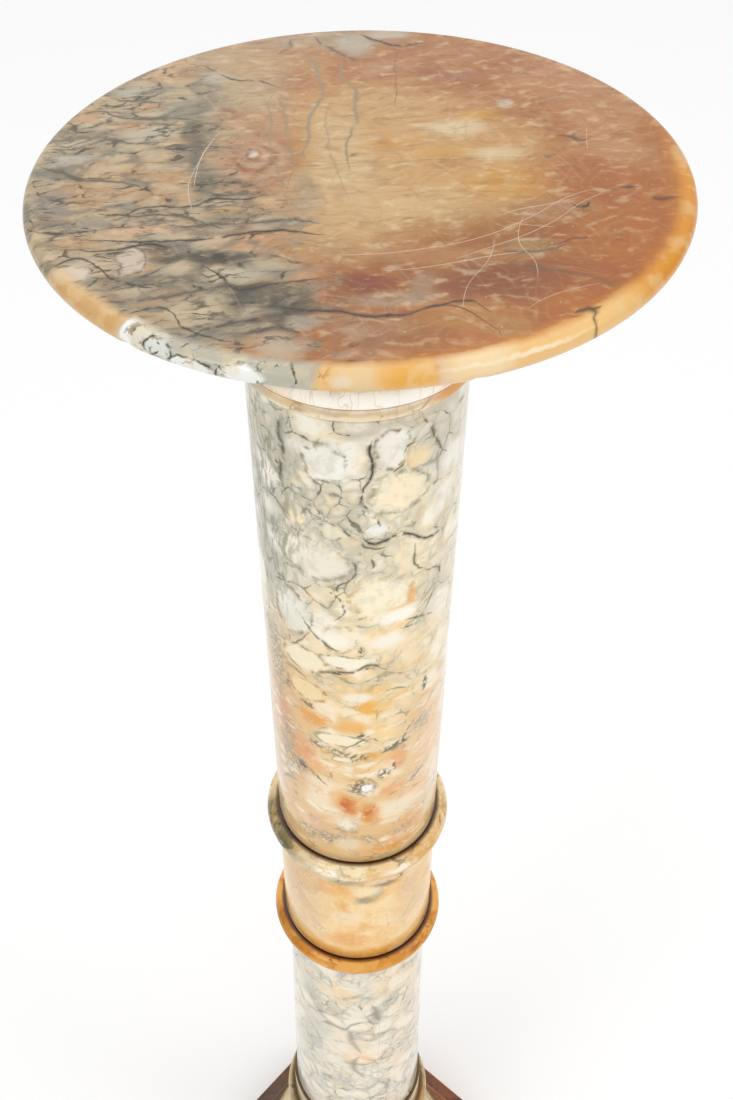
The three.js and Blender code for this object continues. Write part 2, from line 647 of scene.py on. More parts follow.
        return self.add("Math", {0: fade, 1: fall}, operation="POWER")

    def face(self, spot: Socket, span: float, middle: tuple[float, float]) -> Face:
        """Splits flat coordinates for drawing veins.

        Args:
            spot: flat coordinates in millimetres.
            span: the length that the veins' curves cover.
            middle: the middle of that length, each way.

        Returns:
            The face.
        """
        shift = (0.5 - middle[0] / span, 0.5 - middle[1] / span, 0)
        unit = self.add("VectorMath", {0: spot, 1: (1 / span,) * 3, 2: shift}, operation="MULTIPLY_ADD")
        split = self.add("SeparateXYZ", {0: unit})
        return Face(spot, split, split.node.outputs[1], span, middle)

    def wall(self, radius: float) -> Socket:
        """Gives coordinates around and up a round stone: the arc from the front in X, the height in Y.

        Args:
            radius: the stone's radius, for the length of the arc.

        Returns:
            The coordinates in millimetres. Their seam is at the back.
        """
        east = self.add("SeparateXYZ", {0: self.place})
        north, height = east.node.outputs[1], east.node.outputs[2]
        front = self.add("Math", {0: north, 1: -1.0}, operation="MULTIPLY")
        turn = self.add("Math", {0: east, 1: front}, operation="ARCTAN2")
        arc = self.add("Math", {0: turn, 1: radius}, operation="MULTIPLY")
        return self.add("CombineXYZ", {0: arc, 1: height})

    def dirt_and_shade(self, levels: tuple[tuple[float, float, float], ...], colour: str) -> None:
        """Darkens the joints: dirt that sits in them, and painted shade where the stones meet.

        Args:
            levels: for each joint its height, how far the darkening reaches and how strong it is.
            colour: the colour of the dirt and the shade.
        """
        height = self.add("SeparateXYZ", {0: self.place}, 2)
        for level, reach, strength in levels:
            shift = self.add("Math", {0: height, 1: level}, operation="SUBTRACT")
            near = self.add("Math", {0: shift}, operation="ABSOLUTE")
            band = self.add("MapRange", {"Value": near, "From Min": reach, "From Max": 0.0})
            self.paint(band, colour, strength)

    def sink(self, mask: Socket, depth: float) -> None:
        """Sinks the surface by a depth in millimetres where a mask shows it."""
        self.sunk.append((mask, depth))

    def polish(
        self, gloss: tuple[float, float], size: float, light: float, veil: float = VEIL
    ) -> bpy.types.Material:
        """Sets how the surface takes the light, and closes the material.

        The colours are named as the eye sees them on the lit stone. The gloss lays a pale veil over them and
        the studio's light lifts them, so both are taken out again here.

        Args:
            gloss: the lowest and highest roughness of the polish.
            size: the size of the worn and bright areas.
            light: how strongly the studio lights the stone's shown face.
            veil: how much the gloss whitens it.

        Returns:
            The finished material.
        """
        worn = self.clouds(self.place, size, 0.35, 0.7)
        feeds = {"Value": worn, "To Min": gloss[0], "To Max": gloss[1]}
        links, inputs = self.tree.links, self.shader.inputs
        links.new(self.add("MapRange", feeds), inputs["Roughness"])
        clean = {0: self.colour, 1: (1 / light,) * 3, 2: (-veil / light,) * 3}
        clean = self.add("VectorMath", clean, operation="MULTIPLY_ADD")
        clean = self.add("VectorMath", {0: clean, 1: (0.004,) * 3}, operation="MAXIMUM")
        links.new(clean, inputs["Base Color"])
        inputs["IOR"].default_value = 1.5
        height = self.clouds(self.place, 14, 0.3, 0.7, detail=1.0)
        height = self.add("Math", {0: height, 1: 0.05}, operation="MULTIPLY")
        for mask, depth in self.sunk:
            height = self.add("Math", {0: mask, 1: -depth, 2: height}, operation="MULTIPLY_ADD")
        bump = self.add("Bump", {"Height": height, "Distance": MM, "Strength": 1.0})
        links.new(bump, inputs["Normal"])
        return self.material


# Stones, from the top down


@dataclass(frozen=True)
class HoneyTop:
    """Polished honey marble, silky, clouded and scratched, with a breccia of cream and grey on its left."""

    ground: str = "#b47b50"
    streak: str = "#9b6340"
    pale_streak: str = "#c99a70"
    vein_grey: str = "#6f695c"
    dark_vein: str = "#4d483f"
    scratch: str = "#ead9c4"
    painted_edge_glow: str = "#e2973c"
    painted_wide_glow: str = "#b8703a"

    def patches(self) -> tuple[Patch, ...]:
        """The broad clouds and lumps, seen from above with the shown side at the bottom."""
        honey = (
            Patch("#cfa571", 27, -4.5, 56, 56, 0.95, 0.45),
            Patch("#cfa675", 9, 50, 42, 30, 0.85, 0.5),
            Patch("#d0ab7d", -7.5, -27.5, 30, 38, 0.9, 0.5),
            Patch("#d6b98d", -5.5, 13.5, 12, 42, 0.7),
            Patch("#d29f57", 63.5, -17, 20, 14, 0.75),
            Patch("#cf9a55", 15, 23, 7, 5, 0.7),
            Patch("#d3a055", 37.5, 11, 14, 5, 0.5),
            Patch("#d7a354", 57, 42, 10, 6, 0.6),
            Patch("#dfc8a2", 45.5, 34, 14, 7, 0.9),
            Patch("#e0caa2", 61.5, 9.5, 12, 5, 0.8),
            Patch("#d8b888", 31, -32, 26, 16, 0.6),
            Patch("#cba06c", 70, 22, 10, 12, 0.7),
        )
        right = (
            Patch("#96592f", 74, -70, 62, 36, 0.75),
            Patch("#b08a68", 76.5, -36.5, 16, 9, 0.7),
            Patch("#a5774f", 57, -54, 13, 8, 0.5),
            Patch("#aa8f66", 63, -63, 10, 5, 0.7),
            Patch("#b0714a", 98, -15.5, 24, 20, 0.85),
            Patch("#a9684a", 102, -31, 12, 6, 0.5),
            Patch("#a87662", 52, 82.5, 11, 5, 0.75),
            Patch("#a2694d", 40, 88.5, 8, 4, 0.7),
            Patch("#c39873", 21.5, 94.5, 14, 8, 0.6),
            Patch("#d0b9a8", 68, 55.5, 3.5, 4.5, 0.9),
            Patch("#c99b76", 110.5, 37.5, 14, 30, 0.5),
            Patch("#b9855f", 64.5, 109, 28, 12, 0.6),
            Patch("#c4926c", 94.5, 72.5, 20, 20, 0.6),
            Patch("#c9a07a", 114.5, 4, 14, 10, 0.5),
        )
        front = (
            Patch("#b77a4a", 100, -58.5, 22, 22, 0.85),
            Patch("#a96f47", 71, -90, 20, 12, 0.8),
            Patch("#b98a63", 10.5, -69.5, 60, 9, 0.8),
            Patch("#a0663f", 0, -81.5, 24, 13, 0.9),
            Patch("#8c5231", -4, -84, 10, 8, 0.85),
            Patch("#8f5f44", 49, -85, 24, 13, 0.9),
            Patch("#94664f", 36.5, -79.5, 7, 6, 0.6),
            Patch("#b39781", 8, -93.5, 16, 4.5, 0.85),
            Patch("#ab8f78", 19.5, -85.5, 5, 7, 0.7),
            Patch("#b98f6c", -26.5, -88, 8, 7, 0.9),
            Patch("#b78f6b", -32.5, -69, 13, 10, 0.8),
            Patch("#bd9569", -12, -59.5, 16, 9, 0.7),
            Patch("#a17354", 2, -116, 20, 10, 0.9),
            Patch("#b8936f", 6, -111.5, 7, 4, 0.6),
            Patch("#b98b58", 30.5, -107.5, 14, 8, 0.8),
            Patch("#b39365", 47.5, -115, 8, 7, 0.8),
            Patch("#bb7b3e", 79, -102, 14, 7, 0.7),
        )
        left = (
            Patch("#bfae92", -113, 5, 64, 128, 0.95, 0.22),
            Patch("#b0a085", -65, -84.5, 36, 40, 0.95, 0.3),
            Patch("#c4b08e", -62, 74.5, 34, 60, 0.8, 0.35),
            Patch("#b8aa92", -4.5, 127, 34, 10, 0.8),
            Patch("#c9a581", -82, 99.5, 26, 12, 0.9),
            Patch("#c09a70", -93, -3, 24, 20, 0.85),
            Patch("#c49d74", -77.5, 4.5, 9, 24, 0.8),
            Patch("#c9a27a", -88, 66, 7, 4, 0.9),
            Patch("#c8a27c", -114.5, 59.5, 6, 6, 0.9),
            Patch("#c3a07a", -100.5, 47.5, 11, 5, 0.8),
            Patch("#d0a988", -85, -39.5, 22, 5, 0.9),
            Patch("#bf9a73", -115, -8.5, 12, 10, 0.8),
            Patch("#c9a47c", -115.5, -46, 12, 4, 0.8),
            Patch("#b98963", -47.5, 49, 14, 10, 0.8),
            Patch("#b07f5c", -42, 13, 17, 24, 0.9, 0.3),
            Patch("#cba585", -42.5, 14, 13, 18, 0.9, 0.25),
            Patch("#a06a4a", -43, 15, 10, 14, 0.9, 0.25),
            Patch("#d0ad90", -43.5, 16.5, 7, 9.5, 0.9, 0.3),
            Patch("#a97a5e", -44, 18, 4.6, 6, 0.85, 0.35),
            Patch("#e0cfc4", -44, 19.5, 2.4, 2.6, 0.95, 0.5),
            Patch("#a06a4b", -55, 58.5, 5, 5, 0.8),
            Patch("#bd9064", -14, 104.5, 11, 20, 0.85),
            Patch("#c2a178", -37, 104.5, 14, 14, 0.8),
            Patch("#c4a06f", -50.5, -29, 12, 6, 0.9),
            Patch("#c49d76", -32, -21.5, 10, 12, 0.6),
            Patch("#c9a17f", -50.5, -51, 14, 6, 0.8),
            Patch("#c29a6e", -99.5, -100, 14, 6, 0.7),
        )
        grey = (
            Patch("#8f8878", -117, 40, 17, 8, 0.85),
            Patch("#8b8474", -76, 59, 12, 6, 0.85),
            Patch("#908a7b", -96, 84.5, 13, 8, 0.75),
            Patch("#8d8777", -63.5, 84, 6, 16, 0.75),
            Patch("#7d7667", -71, 39.5, 5, 12, 0.9),
            Patch("#797263", -68, 18, 4, 14, 0.9),
            Patch("#7a7465", -63.5, -3.5, 5, 14, 0.9),
            Patch("#8b8576", -54, -7.5, 8, 6, 0.7),
            Patch("#9d978a", -127, 15, 10, 8, 0.8),
            Patch("#a0968c", -127.5, -18.5, 9, 14, 0.8),
            Patch("#9a9182", -113.5, -33.5, 18, 5, 0.8),
            Patch("#6f695c", -75, -53.5, 10, 4.5, 0.95),
            Patch("#6b6558", -55.5, -62.5, 14, 4, 0.95),
            Patch("#8e887a", -91, -74, 16, 7, 0.8),
            Patch("#878172", -69, -78.5, 14, 7, 0.8),
            Patch("#565147", -43.5, -87.5, 16, 8, 1.0, 0.45),
            Patch("#5b564b", -66, -60, 16, 4, 0.95, 0.5),
            Patch("#666054", -44.5, -103, 17, 12, 0.95, 0.45),
            Patch("#645f54", -34.5, -97, 9, 6, 0.9),
            Patch("#8d8779", -34, -39, 14, 4, 0.8),
            Patch("#928c7d", -58.5, -38, 9, 4, 0.7),
            Patch("#8a8476", -89.5, -92, 12, 5, 0.7),
            Patch("#98917f", -22, -17.5, 6, 16, 0.5),
        )
        return honey + right + front + left + grey

    def smoke(self) -> tuple[Patch, ...]:
        """The charcoal smoke that lies over the lumps of the shown side's left."""
        return (
            Patch("#514c42", -43.5, -88, 17, 9, 0.5),
            Patch("#57524a", -66, -60, 18, 5, 0.6),
            Patch("#5c564b", -45, -103, 18, 11, 0.35),
            Patch("#625c50", -30, -97, 10, 7, 0.35),
            Patch("#6b6559", -84, -76, 20, 6, 0.4),
            Patch("#6f695c", -66, 30, 7, 30, 0.4),
        )

    def lumps(self) -> tuple[Patch, ...]:
        """The pale lumps that lie over the seams."""
        return (
            Patch("#d4c4b2", -93, -59, 5.5, 10, 0.85, 0.4, "#8a7a68"),
            Patch("#e0d0be", -114.5, -68, 7, 6, 0.85, 0.45, "#7c6a55"),
            Patch("#c6beb0", -122, 21.5, 11, 3.5, 0.75, 0.6),
            Patch("#c3bcac", -98.5, 81.5, 6, 4, 0.8, 0.6),
            Patch("#c6bba4", -59.5, 91.5, 7, 6, 0.8),
            Patch("#c8bca6", -90.5, 40, 11, 5, 0.8),
            Patch("#c5b99f", -50.5, -73.5, 10, 5, 0.7, 0.6),
            Patch("#b5ab9a", -28.5, -106, 6, 4, 0.6, 0.6),
            Patch("#ccb898", -67, -95.5, 10, 7, 0.8, 0.6),
            Patch("#c2b69f", -36.5, -120, 8, 7, 0.7, 0.6),
            Patch("#bdb3a2", 7.5, 118.5, 8, 11, 0.75),
            Patch("#c9b8a4", 26, 129.5, 10, 5, 0.8),
        )

    def veins(self) -> tuple[Vein, ...]:
        """The dark and grey veins that someone would know the slab by."""
        dark, grey = self.dark_vein, self.vein_grey
        up = Run.UP
        return (
            Vein(
                dark,
                ((-42.5, -94.5, 0), (-20.5, -99, 1.3), (8, -105, 0.9), (18.5, -100.5, 0.8),
                 (33.5, -97.5, 0.9), (44.5, -108, 0)),
            ),
            Vein(dark, ((24.5, -98.5, 0), (32.5, -102.5, 0.5), (40.5, -113.5, 0.6), (44.5, -122, 0))),
            Vein(
                grey,
                ((-81, -35.5, 0), (-64.5, -37, 1.0), (-46.5, -37, 1.2), (-32, -35.5, 1.6),
                 (-16, -39.5, 0)),
            ),
            Vein(
                dark,
                ((-119.5, -43, 0), (-96, -46, 0.7), (-60.5, -47, 0.9), (-38, -44, 1.2), (-14, -47.5, 0)),
            ),
            Vein(
                grey,
                ((-105, -29.5, 0), (-87, -27.5, 1.0), (-72.5, -29, 1.1), (-62.5, -37, 1.0),
                 (-54.5, -41, 0)),
            ),
            Vein(
                dark,
                ((-100, -26.5, 0), (-82.5, -20, 0.9), (-69.5, -22, 1.0), (-58.5, -16.5, 1.6),
                 (-48, -18.5, 1.0), (-36, -14.5, 0)),
            ),
            Vein(grey, ((-137.5, 18, 0), (-125, 11, 1.2), (-115, 3, 1.2), (-99, 0, 1.0), (-86.5, -8, 0))),
            Vein(
                dark,
                ((-67.5, 107, 0), (-59.5, 99, 0.8), (-51.5, 89.5, 1.0), (-40.5, 86.5, 0.9), (-27, 76, 0)),
            ),
            Vein(dark, ((10, 132.5, 0), (15, 126, 1.5), (20, 123, 1.3), (29, 117, 1.4), (42, 119, 0))),
            Vein(grey, ((133, -12.5, 0), (121.5, -7.5, 0.9), (110, 1.5, 1.5), (100.5, 9.5, 0)), up, 0.9),
            Vein(grey, ((131, -23, 0), (121.5, -24, 1.6), (110.5, -31, 0)), up, 0.7),
            Vein(
                dark,
                ((-64.5, -64.5, 0), (-56.5, -76.5, 1.4), (-48.5, -83.5, 1.6), (-36.5, -81, 1.0),
                 (-18, -78, 0)),
            ),
            Vein(dark, ((-135.5, -30, 0), (-131.5, -36, 1.0), (-119.5, -38, 1.2), (-105, -36.5, 0))),
            Vein(
                grey,
                ((-131, 54, 0), (-112.5, 63.5, 1.0), (-100.5, 56.5, 1.0), (-84, 55, 1.6), (-66, 51, 0)),
            ),
            Vein(grey, ((-108.5, 77, 0), (-98.5, 72, 1.0), (-88, 76.5, 1.0), (-82, 82, 0))),
            Vein(
                grey,
                ((-135, 30.5, 0), (-121, 30.5, 1.0), (-106.5, 37, 1.4), (-94.5, 32, 1.0), (-80.5, 34, 0)),
            ),
            Vein(dark, ((-133.5, -48, 0), (-101, -52, 0.6), (-85, -48.5, 1.0), (-73, -54.5, 0))),
            Vein(
                dark,
                ((-123.5, -64, 0), (-113.5, -57, 0.8), (-104.5, -64, 0.8), (-97.5, -74, 1.2),
                 (-81, -80, 0)),
            ),
            Vein(grey, ((-105.5, -86, 0), (-91.5, -88, 1.2), (-75, -84.5, 1.3), (-59, -82.5, 0))),
            Vein(
                dark,
                ((-93.5, -96, 0), (-81, -92, 0.8), (-71, -104.5, 0.8), (-61, -112.5, 0.8),
                 (-51, -116.5, 0)),
            ),
            Vein(grey, ((45, -58, 0), (53, -66, 0.8), (65.5, -67, 1.2), (79.5, -61.5, 0)), Run.ACROSS, 0.9),
            Vein("#8a4f35", ((67.5, -64, 0), (79.5, -60.5, 0.7), (86.5, -58.5, 0.8), (87.5, -50.5, 0))),
            Vein(
                grey,
                ((45, -72, 0), (59, -76, 0.7), (75.5, -83, 0.8), (93.5, -92.5, 1.6), (99.5, -91.5, 0)),
                Run.ACROSS,
                0.8,
            ),
            Vein(dark, ((105, -22, 0), (110, -22.5, 1.2), (114.5, -22.5, 0))),
            Vein(dark, ((84, -34, 0), (88, -36, 1.5), (92, -32, 0))),
            Vein(dark, ((114, -31, 0), (120.5, -33.5, 1.6), (126.5, -32.5, 1.0), (132.5, -34.5, 0))),
            Vein("#7a6253", ((88, 24, 0), (94.5, 20, 1.6), (98.5, 17, 1.2), (102.5, 19, 0))),
            Vein("#7a6253", ((12, 98.5, 0), (20, 94.5, 1.2), (27.5, 101.5, 0)), up, 0.8),
            Vein("#75685a", ((78, 6.5, 0), (81, 4.5, 1.6), (85, 5.5, 0)), Run.ACROSS, 0.8),
            Vein("#5f564a", ((-2.5, 12.5, 0), (1, 14, 1.1), (4, 14.5, 0)), Run.ACROSS, 0.8),
            Vein("#77664f", ((14.5, -40, 0), (17.5, -39, 1.0), (20.5, -40, 0)), Run.ACROSS, 0.6),
        )

    def hairs(self) -> tuple[Vein, ...]:
        """The soft grey hairlines that run away from the shown side."""
        grey, up = "#a08f74", Run.UP
        return (
            Vein(
                grey,
                ((118, -19, 0), (96.5, -12, 1.1), (77.5, -10, 1.0), (53.5, -16, 1.0), (29, -19.5, 0.8),
                 (9.5, -21.5, 0)),
                up,
            ),
            Vein(
                grey,
                ((112, 2.5, 0), (91, -1.5, 0.7), (69.5, 4, 0.9), (48.5, 3, 0.9), (23, -2, 0.8),
                 (-4, -3.5, 0)),
                up,
            ),
            Vein(
                grey,
                ((106.5, -23, 0), (77.5, -29, 0.6), (39, -28.5, 0.7), (10, -26.5, 0.6), (-23.5, -32, 0)),
                up,
                0.8,
            ),
            Vein(
                grey,
                ((91, -25, 0), (58.5, -35.5, 0.5), (19.5, -35.5, 0.6), (0, -33, 0.5), (-29.5, -28, 0)),
                up,
                0.7,
            ),
            Vein(grey, ((68, -7, 0), (39, -11, 0.6), (9.5, -9.5, 0.6), (-29.5, -3.5, 0)), up, 0.6),
            Vein("#8b5f44", ((117.5, 28, 0), (96, 25.5, 0.4), (79, 23.5, 0.4), (48, 21.5, 0)), up, 0.6),
            Vein(grey, ((-44.5, 2.5, 0), (-69.5, 8.5, 0.7), (-89.5, 14.5, 0.5), (-99.5, 14.5, 0)), up, 0.6),
            Vein(grey, ((-10, -23.5, 0), (-49, -26, 0.6), (-79, -30.5, 0)), up, 0.5),
        )

    def scratches(self) -> tuple[Vein, ...]:
        """Fine pale scratches from use, wide enough here to show."""
        pale, up = self.scratch, Run.UP
        return (
            Vein(
                pale,
                ((-28, -62, 0), (0.5, -63.5, 0.28), (22.5, -61.5, 0.28), (43, -56, 0.3),
                 (65.5, -42.5, 0.28), (86, -27, 0.25), (100, -21, 0)),
            ),
            Vein(pale, ((-6, -76, 0), (20.5, -74.5, 0.28), (51, -68, 0.3), (63, -66, 0))),
            Vein(
                pale,
                ((24.5, -73.5, 0), (45, -64, 0.25), (71.5, -48.5, 0.28), (94, -29, 0.25), (102, -25, 0)),
            ),
            Vein(pale, ((49, -43, 0), (61.5, -36.5, 0.3), (77.5, -32.5, 0.28), (94, -27, 0))),
            Vein(pale, ((51, -42, 0), (63.5, -47.5, 0.25), (81.5, -51.5, 0))),
            Vein(pale, ((51, -108, 0), (63, -98, 0.28), (77.5, -92, 0.25), (89.5, -89.5, 0))),
            Vein(
                pale,
                ((-17, -68.5, 0), (10.5, -66.5, 0.28), (31.5, -61, 0.25), (49, -52, 0), (60.5, -45.5, 0)),
                up,
            ),
            Vein(pale, ((-33, -67.5, 0), (-9, -70.5, 0.25), (18, -65, 0.25), (39.5, -58, 0)), up),
            Vein(pale, ((-90, 61, 0), (-76, 63, 0.25), (-60, 59, 0.25), (-30.5, 67.5, 0)), up, 0.8),
            Vein(pale, ((-109.5, 30.5, 0), (-89.5, 34.5, 0.22), (-68, 47, 0.22), (-50, 51, 0)), up, 0.8),
            Vein(pale, ((2.5, 98, 0), (18, 100.5, 0.22), (35.5, 103.5, 0)), up, 0.7),
            Vein(pale, ((62, 42, 0), (86.5, 54, 0.22), (107, 61.5, 0)), Run.ACROSS, 0.6),
            Vein(pale, ((-19, 70, 0), (11.5, 73.5, 0.2), (50, 65, 0)), Run.ACROSS, 0.5),
        )

    def blot(self) -> tuple[Vein, ...]:
        """The dark blot near the rim, at the right of the front."""
        dark = "#4a4639"
        return (
            Vein(dark, ((71, -108, 0), (76, -106.5, 1.6), (80, -106, 1.3), (83, -104, 0)), Run.ACROSS, 0.8),
            Vein(
                dark,
                ((-120, 78, 0), (-117, 79, 0.9), (-112, 78.5, 0.7), (-108, 79.5, 1.2), (-105, 77, 0)),
                Run.UP,
                0.7,
            ),
            Vein(dark, ((66, -107, 0), (70, -110, 0.5), (75, -110.5, 0)), Run.ACROSS, 0.6),
        )

    def rim_patches(self) -> tuple[Patch, ...]:
        """What the thin edge shows, with a painted glow and a painted highlight: the arc from the front, and
        the height.
        """
        fissure = "#4a4430"
        return (
            Patch("#e0b47c", -125, 1065, 26, 12, 0.85, 0.3),
            Patch("#c6c3b2", -62, 1065, 40, 14, 0.95, 0.12),
            Patch("#f4ecd8", -95, 1066, 10, 7, 0.7),
            Patch("#fbfaf4", -101, 1068, 3, 5, 1.0, 0.3),
            Patch("#f4f5ee", -72, 1064.5, 10, 3.2, 1.0, 0.3, fissure),
            Patch("#fafaf5", -51, 1065.5, 8, 4, 1.0, 0.3, fissure),
            Patch("#e6e9e2", -86, 1067, 6, 3, 0.9, 0.4, fissure),
            # The orange and yellow patches from here on, at the front and the right, are painted glow, as of
            # light coming through the thin edge.
            Patch("#f5c888", -3, 1065, 22, 14, 0.95, 0.1),
            Patch("#efdfc6", -15, 1067, 4, 2.5, 0.9),
            Patch("#eed2a4", -7, 1064, 5, 9, 0.75),
            Patch("#edb15c", 9, 1067, 10, 4, 0.8),
            Patch("#e39f49", 125, 1067, 106, 8, 0.8, 0.1),
            Patch("#f9d397", 68, 1067, 44, 10, 0.8, 0.4),
            Patch("#fbe4ba", 34, 1067, 13, 9, 0.8, 0.4),
            Patch("#f1c893", 80, 1062.5, 62, 2.6, 0.8),
            Patch("#ecdcc6", 21, 1065, 2.0, 6, 0.5, 0.8),
            # Painted highlight: a thin pale line along the top of the edge.
            Patch("#fff2d6", 48, 1068.4, 26, 0.6, 0.6, 0.5),
            Patch("#f0c084", -2, 1062, 10, 2.0, 0.7),
        )

    def material(self) -> bpy.types.Material:
        """Paints the slab.

        Returns:
            The slab's material.
        """
        marble = Marble("polished_honey_marble", self.ground)
        flow = marble.drift(marble.place, 24, 5.0)
        ragged = marble.drift(flow, 8, 2.4, 5.0)
        streak = (3.0, 1.0, 1.0)
        marble.paint(marble.clouds(marble.place, 7, 0.45, 0.7, streak, bend=0.7), self.streak, 0.55)
        marble.paint(marble.clouds(marble.place, 11, 0.48, 0.7, streak, bend=1.0), self.pale_streak, 0.6)
        for patch in self.patches():
            marble.patch(ragged, patch)
        self.stir(marble, flow, ragged)
        grey_side = self.side(marble, flow)
        self.break_up(marble, ragged, grey_side)
        broken = marble.clouds(marble.place, 9, 0.3, 0.48)
        bent = marble.drift(marble.place, 14, 2.6)
        face = marble.face(marble.drift(bent, 4, 0.9, 2.0, bent), TOP_SPAN, (0.0, 0.0))
        for vein in self.veins() + self.hairs():
            marble.paint(marble.both(marble.vein(face, vein), broken), vein.colour, vein.strength)
        self.wear(marble)
        self.rim(marble, flow)
        for vein in self.blot():
            marble.paint(marble.vein(face, vein), vein.colour, vein.strength)
        return marble.polish((0.16, 0.34), 45, 1.04, 0.065)

    def side(self, marble: Marble, flow: Socket) -> Socket:
        """Gives a mask of the brecciated side, to the left.

        Args:
            marble: the material.
            flow: the places it is read at.

        Returns:
            The mask, 0 to 1.
        """
        tilt = marble.add("VectorMath", {0: flow, 1: (-1.0, -0.28, 0)}, "Value", operation="DOT_PRODUCT")
        feeds = {"Value": tilt, "From Min": 22.0, "From Max": 58.0}
        return marble.add("MapRange", feeds, interpolation_type="SMOOTHSTEP")

    def stir(self, marble: Marble, flow: Socket, ragged: Socket) -> None:
        """Lays small clouds, fibres and nested lines over everything, as in a stone that was stirred.

        Args:
            marble: the material.
            flow: the softly pushed places.
            ragged: the same places, pushed further at a small scale.
        """
        wide = (1.7, 1.0, 1.0)
        marble.paint(marble.clouds(ragged, 9, 0.5, 0.72, wide, 4.0), "#97653f", 0.36)
        marble.paint(marble.clouds(flow, 5, 0.52, 0.7, wide), "#ecd6ae", 0.36)
        marble.paint(marble.clouds(flow, 2.2, 0.5, 0.75, (6.0, 1.0, 1.0), 2.0), "#8f6040", 0.3)
        marble.paint(marble.nested(flow, 36, 13.0), "#85603f", 0.13)
        marble.paint(marble.nested(flow, 25, 9.0), "#f0dcbb", 0.06)

    def break_up(self, marble: Marble, where: Socket, side: Socket) -> None:
        """Breaks the left side into lumps, with grey smoke, seams and wisps that run across.

        Args:
            marble: the material.
            where: the places that the lumps are read at.
            side: the mask of that side.
        """
        lean = marble.leaning(where, -6)
        soft = marble.clouds(lean, 11, 0.5, 0.64, (2.6, 1.0, 1.0), 4.0)
        marble.paint(marble.both(soft, side), "#8f897b", 0.7)
        deep = marble.clouds(lean, 6, 0.54, 0.68, (3.2, 1.0, 1.0))
        marble.paint(marble.both(deep, side), "#716b5e", 0.45)
        gap, chance = marble.lumps(lean, 9.5, (2.0, 1.0, 1.3))
        heart = marble.add("MapRange", {"Value": gap, "From Min": 0.4, "From Max": 3.0})
        pale = marble.add("MapRange", {"Value": chance, "From Min": 0.5, "From Max": 0.7})
        marble.paint(marble.both(marble.both(pale, heart), side), "#d3c0a2", 0.6)
        warm = marble.add("MapRange", {"Value": chance, "From Min": 0.34, "From Max": 0.16})
        marble.paint(marble.both(marble.both(warm, heart), side), "#c99f78", 0.6)
        marble.paint(marble.both(marble.seams(gap, marble.place, 14, -0.6, 2.4), side), "#857e70", 0.55)
        marble.paint(marble.both(marble.seams(gap, marble.place, 6, -0.6, 0.9), side), self.dark_vein, 0.75)
        torn = marble.clouds(lean, 5, 0.36, 0.56, (2.0, 1.0, 1.0))
        for puff in self.smoke():
            marble.patch(where, puff, torn)
        for lump in self.lumps():
            marble.patch(where, lump)
        spread = marble.both(marble.clouds(marble.place, 20, 0.45, 0.62), side)
        for size, width, strength in ((16, 0.025, 0.9), (7, 0.03, 0.6)):
            wisps = marble.wisps(lean, size, width, (3.6, 1.0, 1.0), 4.0)
            marble.paint(marble.both(wisps, spread), "#5f594e", strength)

    def wear(self, marble: Marble) -> None:
        """Scratches the polish and fills its pits with pale dust.

        The marks are drawn wider than real ones, about 0.3 mm, so that they show.

        Args:
            marble: the material.
        """
        steady = marble.face(marble.drift(marble.place, 30, 0.8), TOP_SPAN, (0.0, 0.0))
        for scratch in self.scratches():
            marble.paint(marble.vein(steady, scratch, 1.0, 1.0), scratch.colour, scratch.strength * 0.75)
        for degrees in (24, -36, 70):
            turned = marble.leaning(marble.place, degrees)
            line = marble.wisps(turned, 5, 0.022, (30.0, 1.0, 1.0), 0.0)
            line = marble.both(line, marble.clouds(turned, 15, 0.54, 0.64, detail=1.0))
            marble.paint(line, self.scratch, 0.11)
            marble.sink(line, 0.03)
        marble.paint(marble.specks(11, 0.5), "#f2ead9", 0.8)

    def rim(self, marble: Marble, flow: Socket) -> None:
        """Paints a glow on the edge at the right and the front, as of light coming through it, and mottles
        its left.

        Args:
            marble: the material.
            flow: the places it is read at.
        """
        wavy = marble.drift(marble.place, 8, 1.8)
        flat = marble.add("VectorMath", {0: wavy, 1: (1, 1, 0)}, operation="MULTIPLY")
        reach = marble.add("VectorMath", {0: flat}, "Value", operation="LENGTH")
        wide = marble.add("MapRange", {"Value": reach, "From Min": 98.0, "From Max": 138.0})
        feeds = {"Value": reach, "From Min": 127.0, "From Max": 138.0}
        near = marble.add("MapRange", feeds, interpolation_type="SMOOTHSTEP")
        toward = marble.add("VectorMath", {0: flow, 1: (0.72, -0.69, 0)}, "Value", operation="DOT_PRODUCT")
        feeds = {"Value": toward, "From Min": 62.0, "From Max": 118.0}
        lit = marble.add("MapRange", feeds, interpolation_type="SMOOTHSTEP")
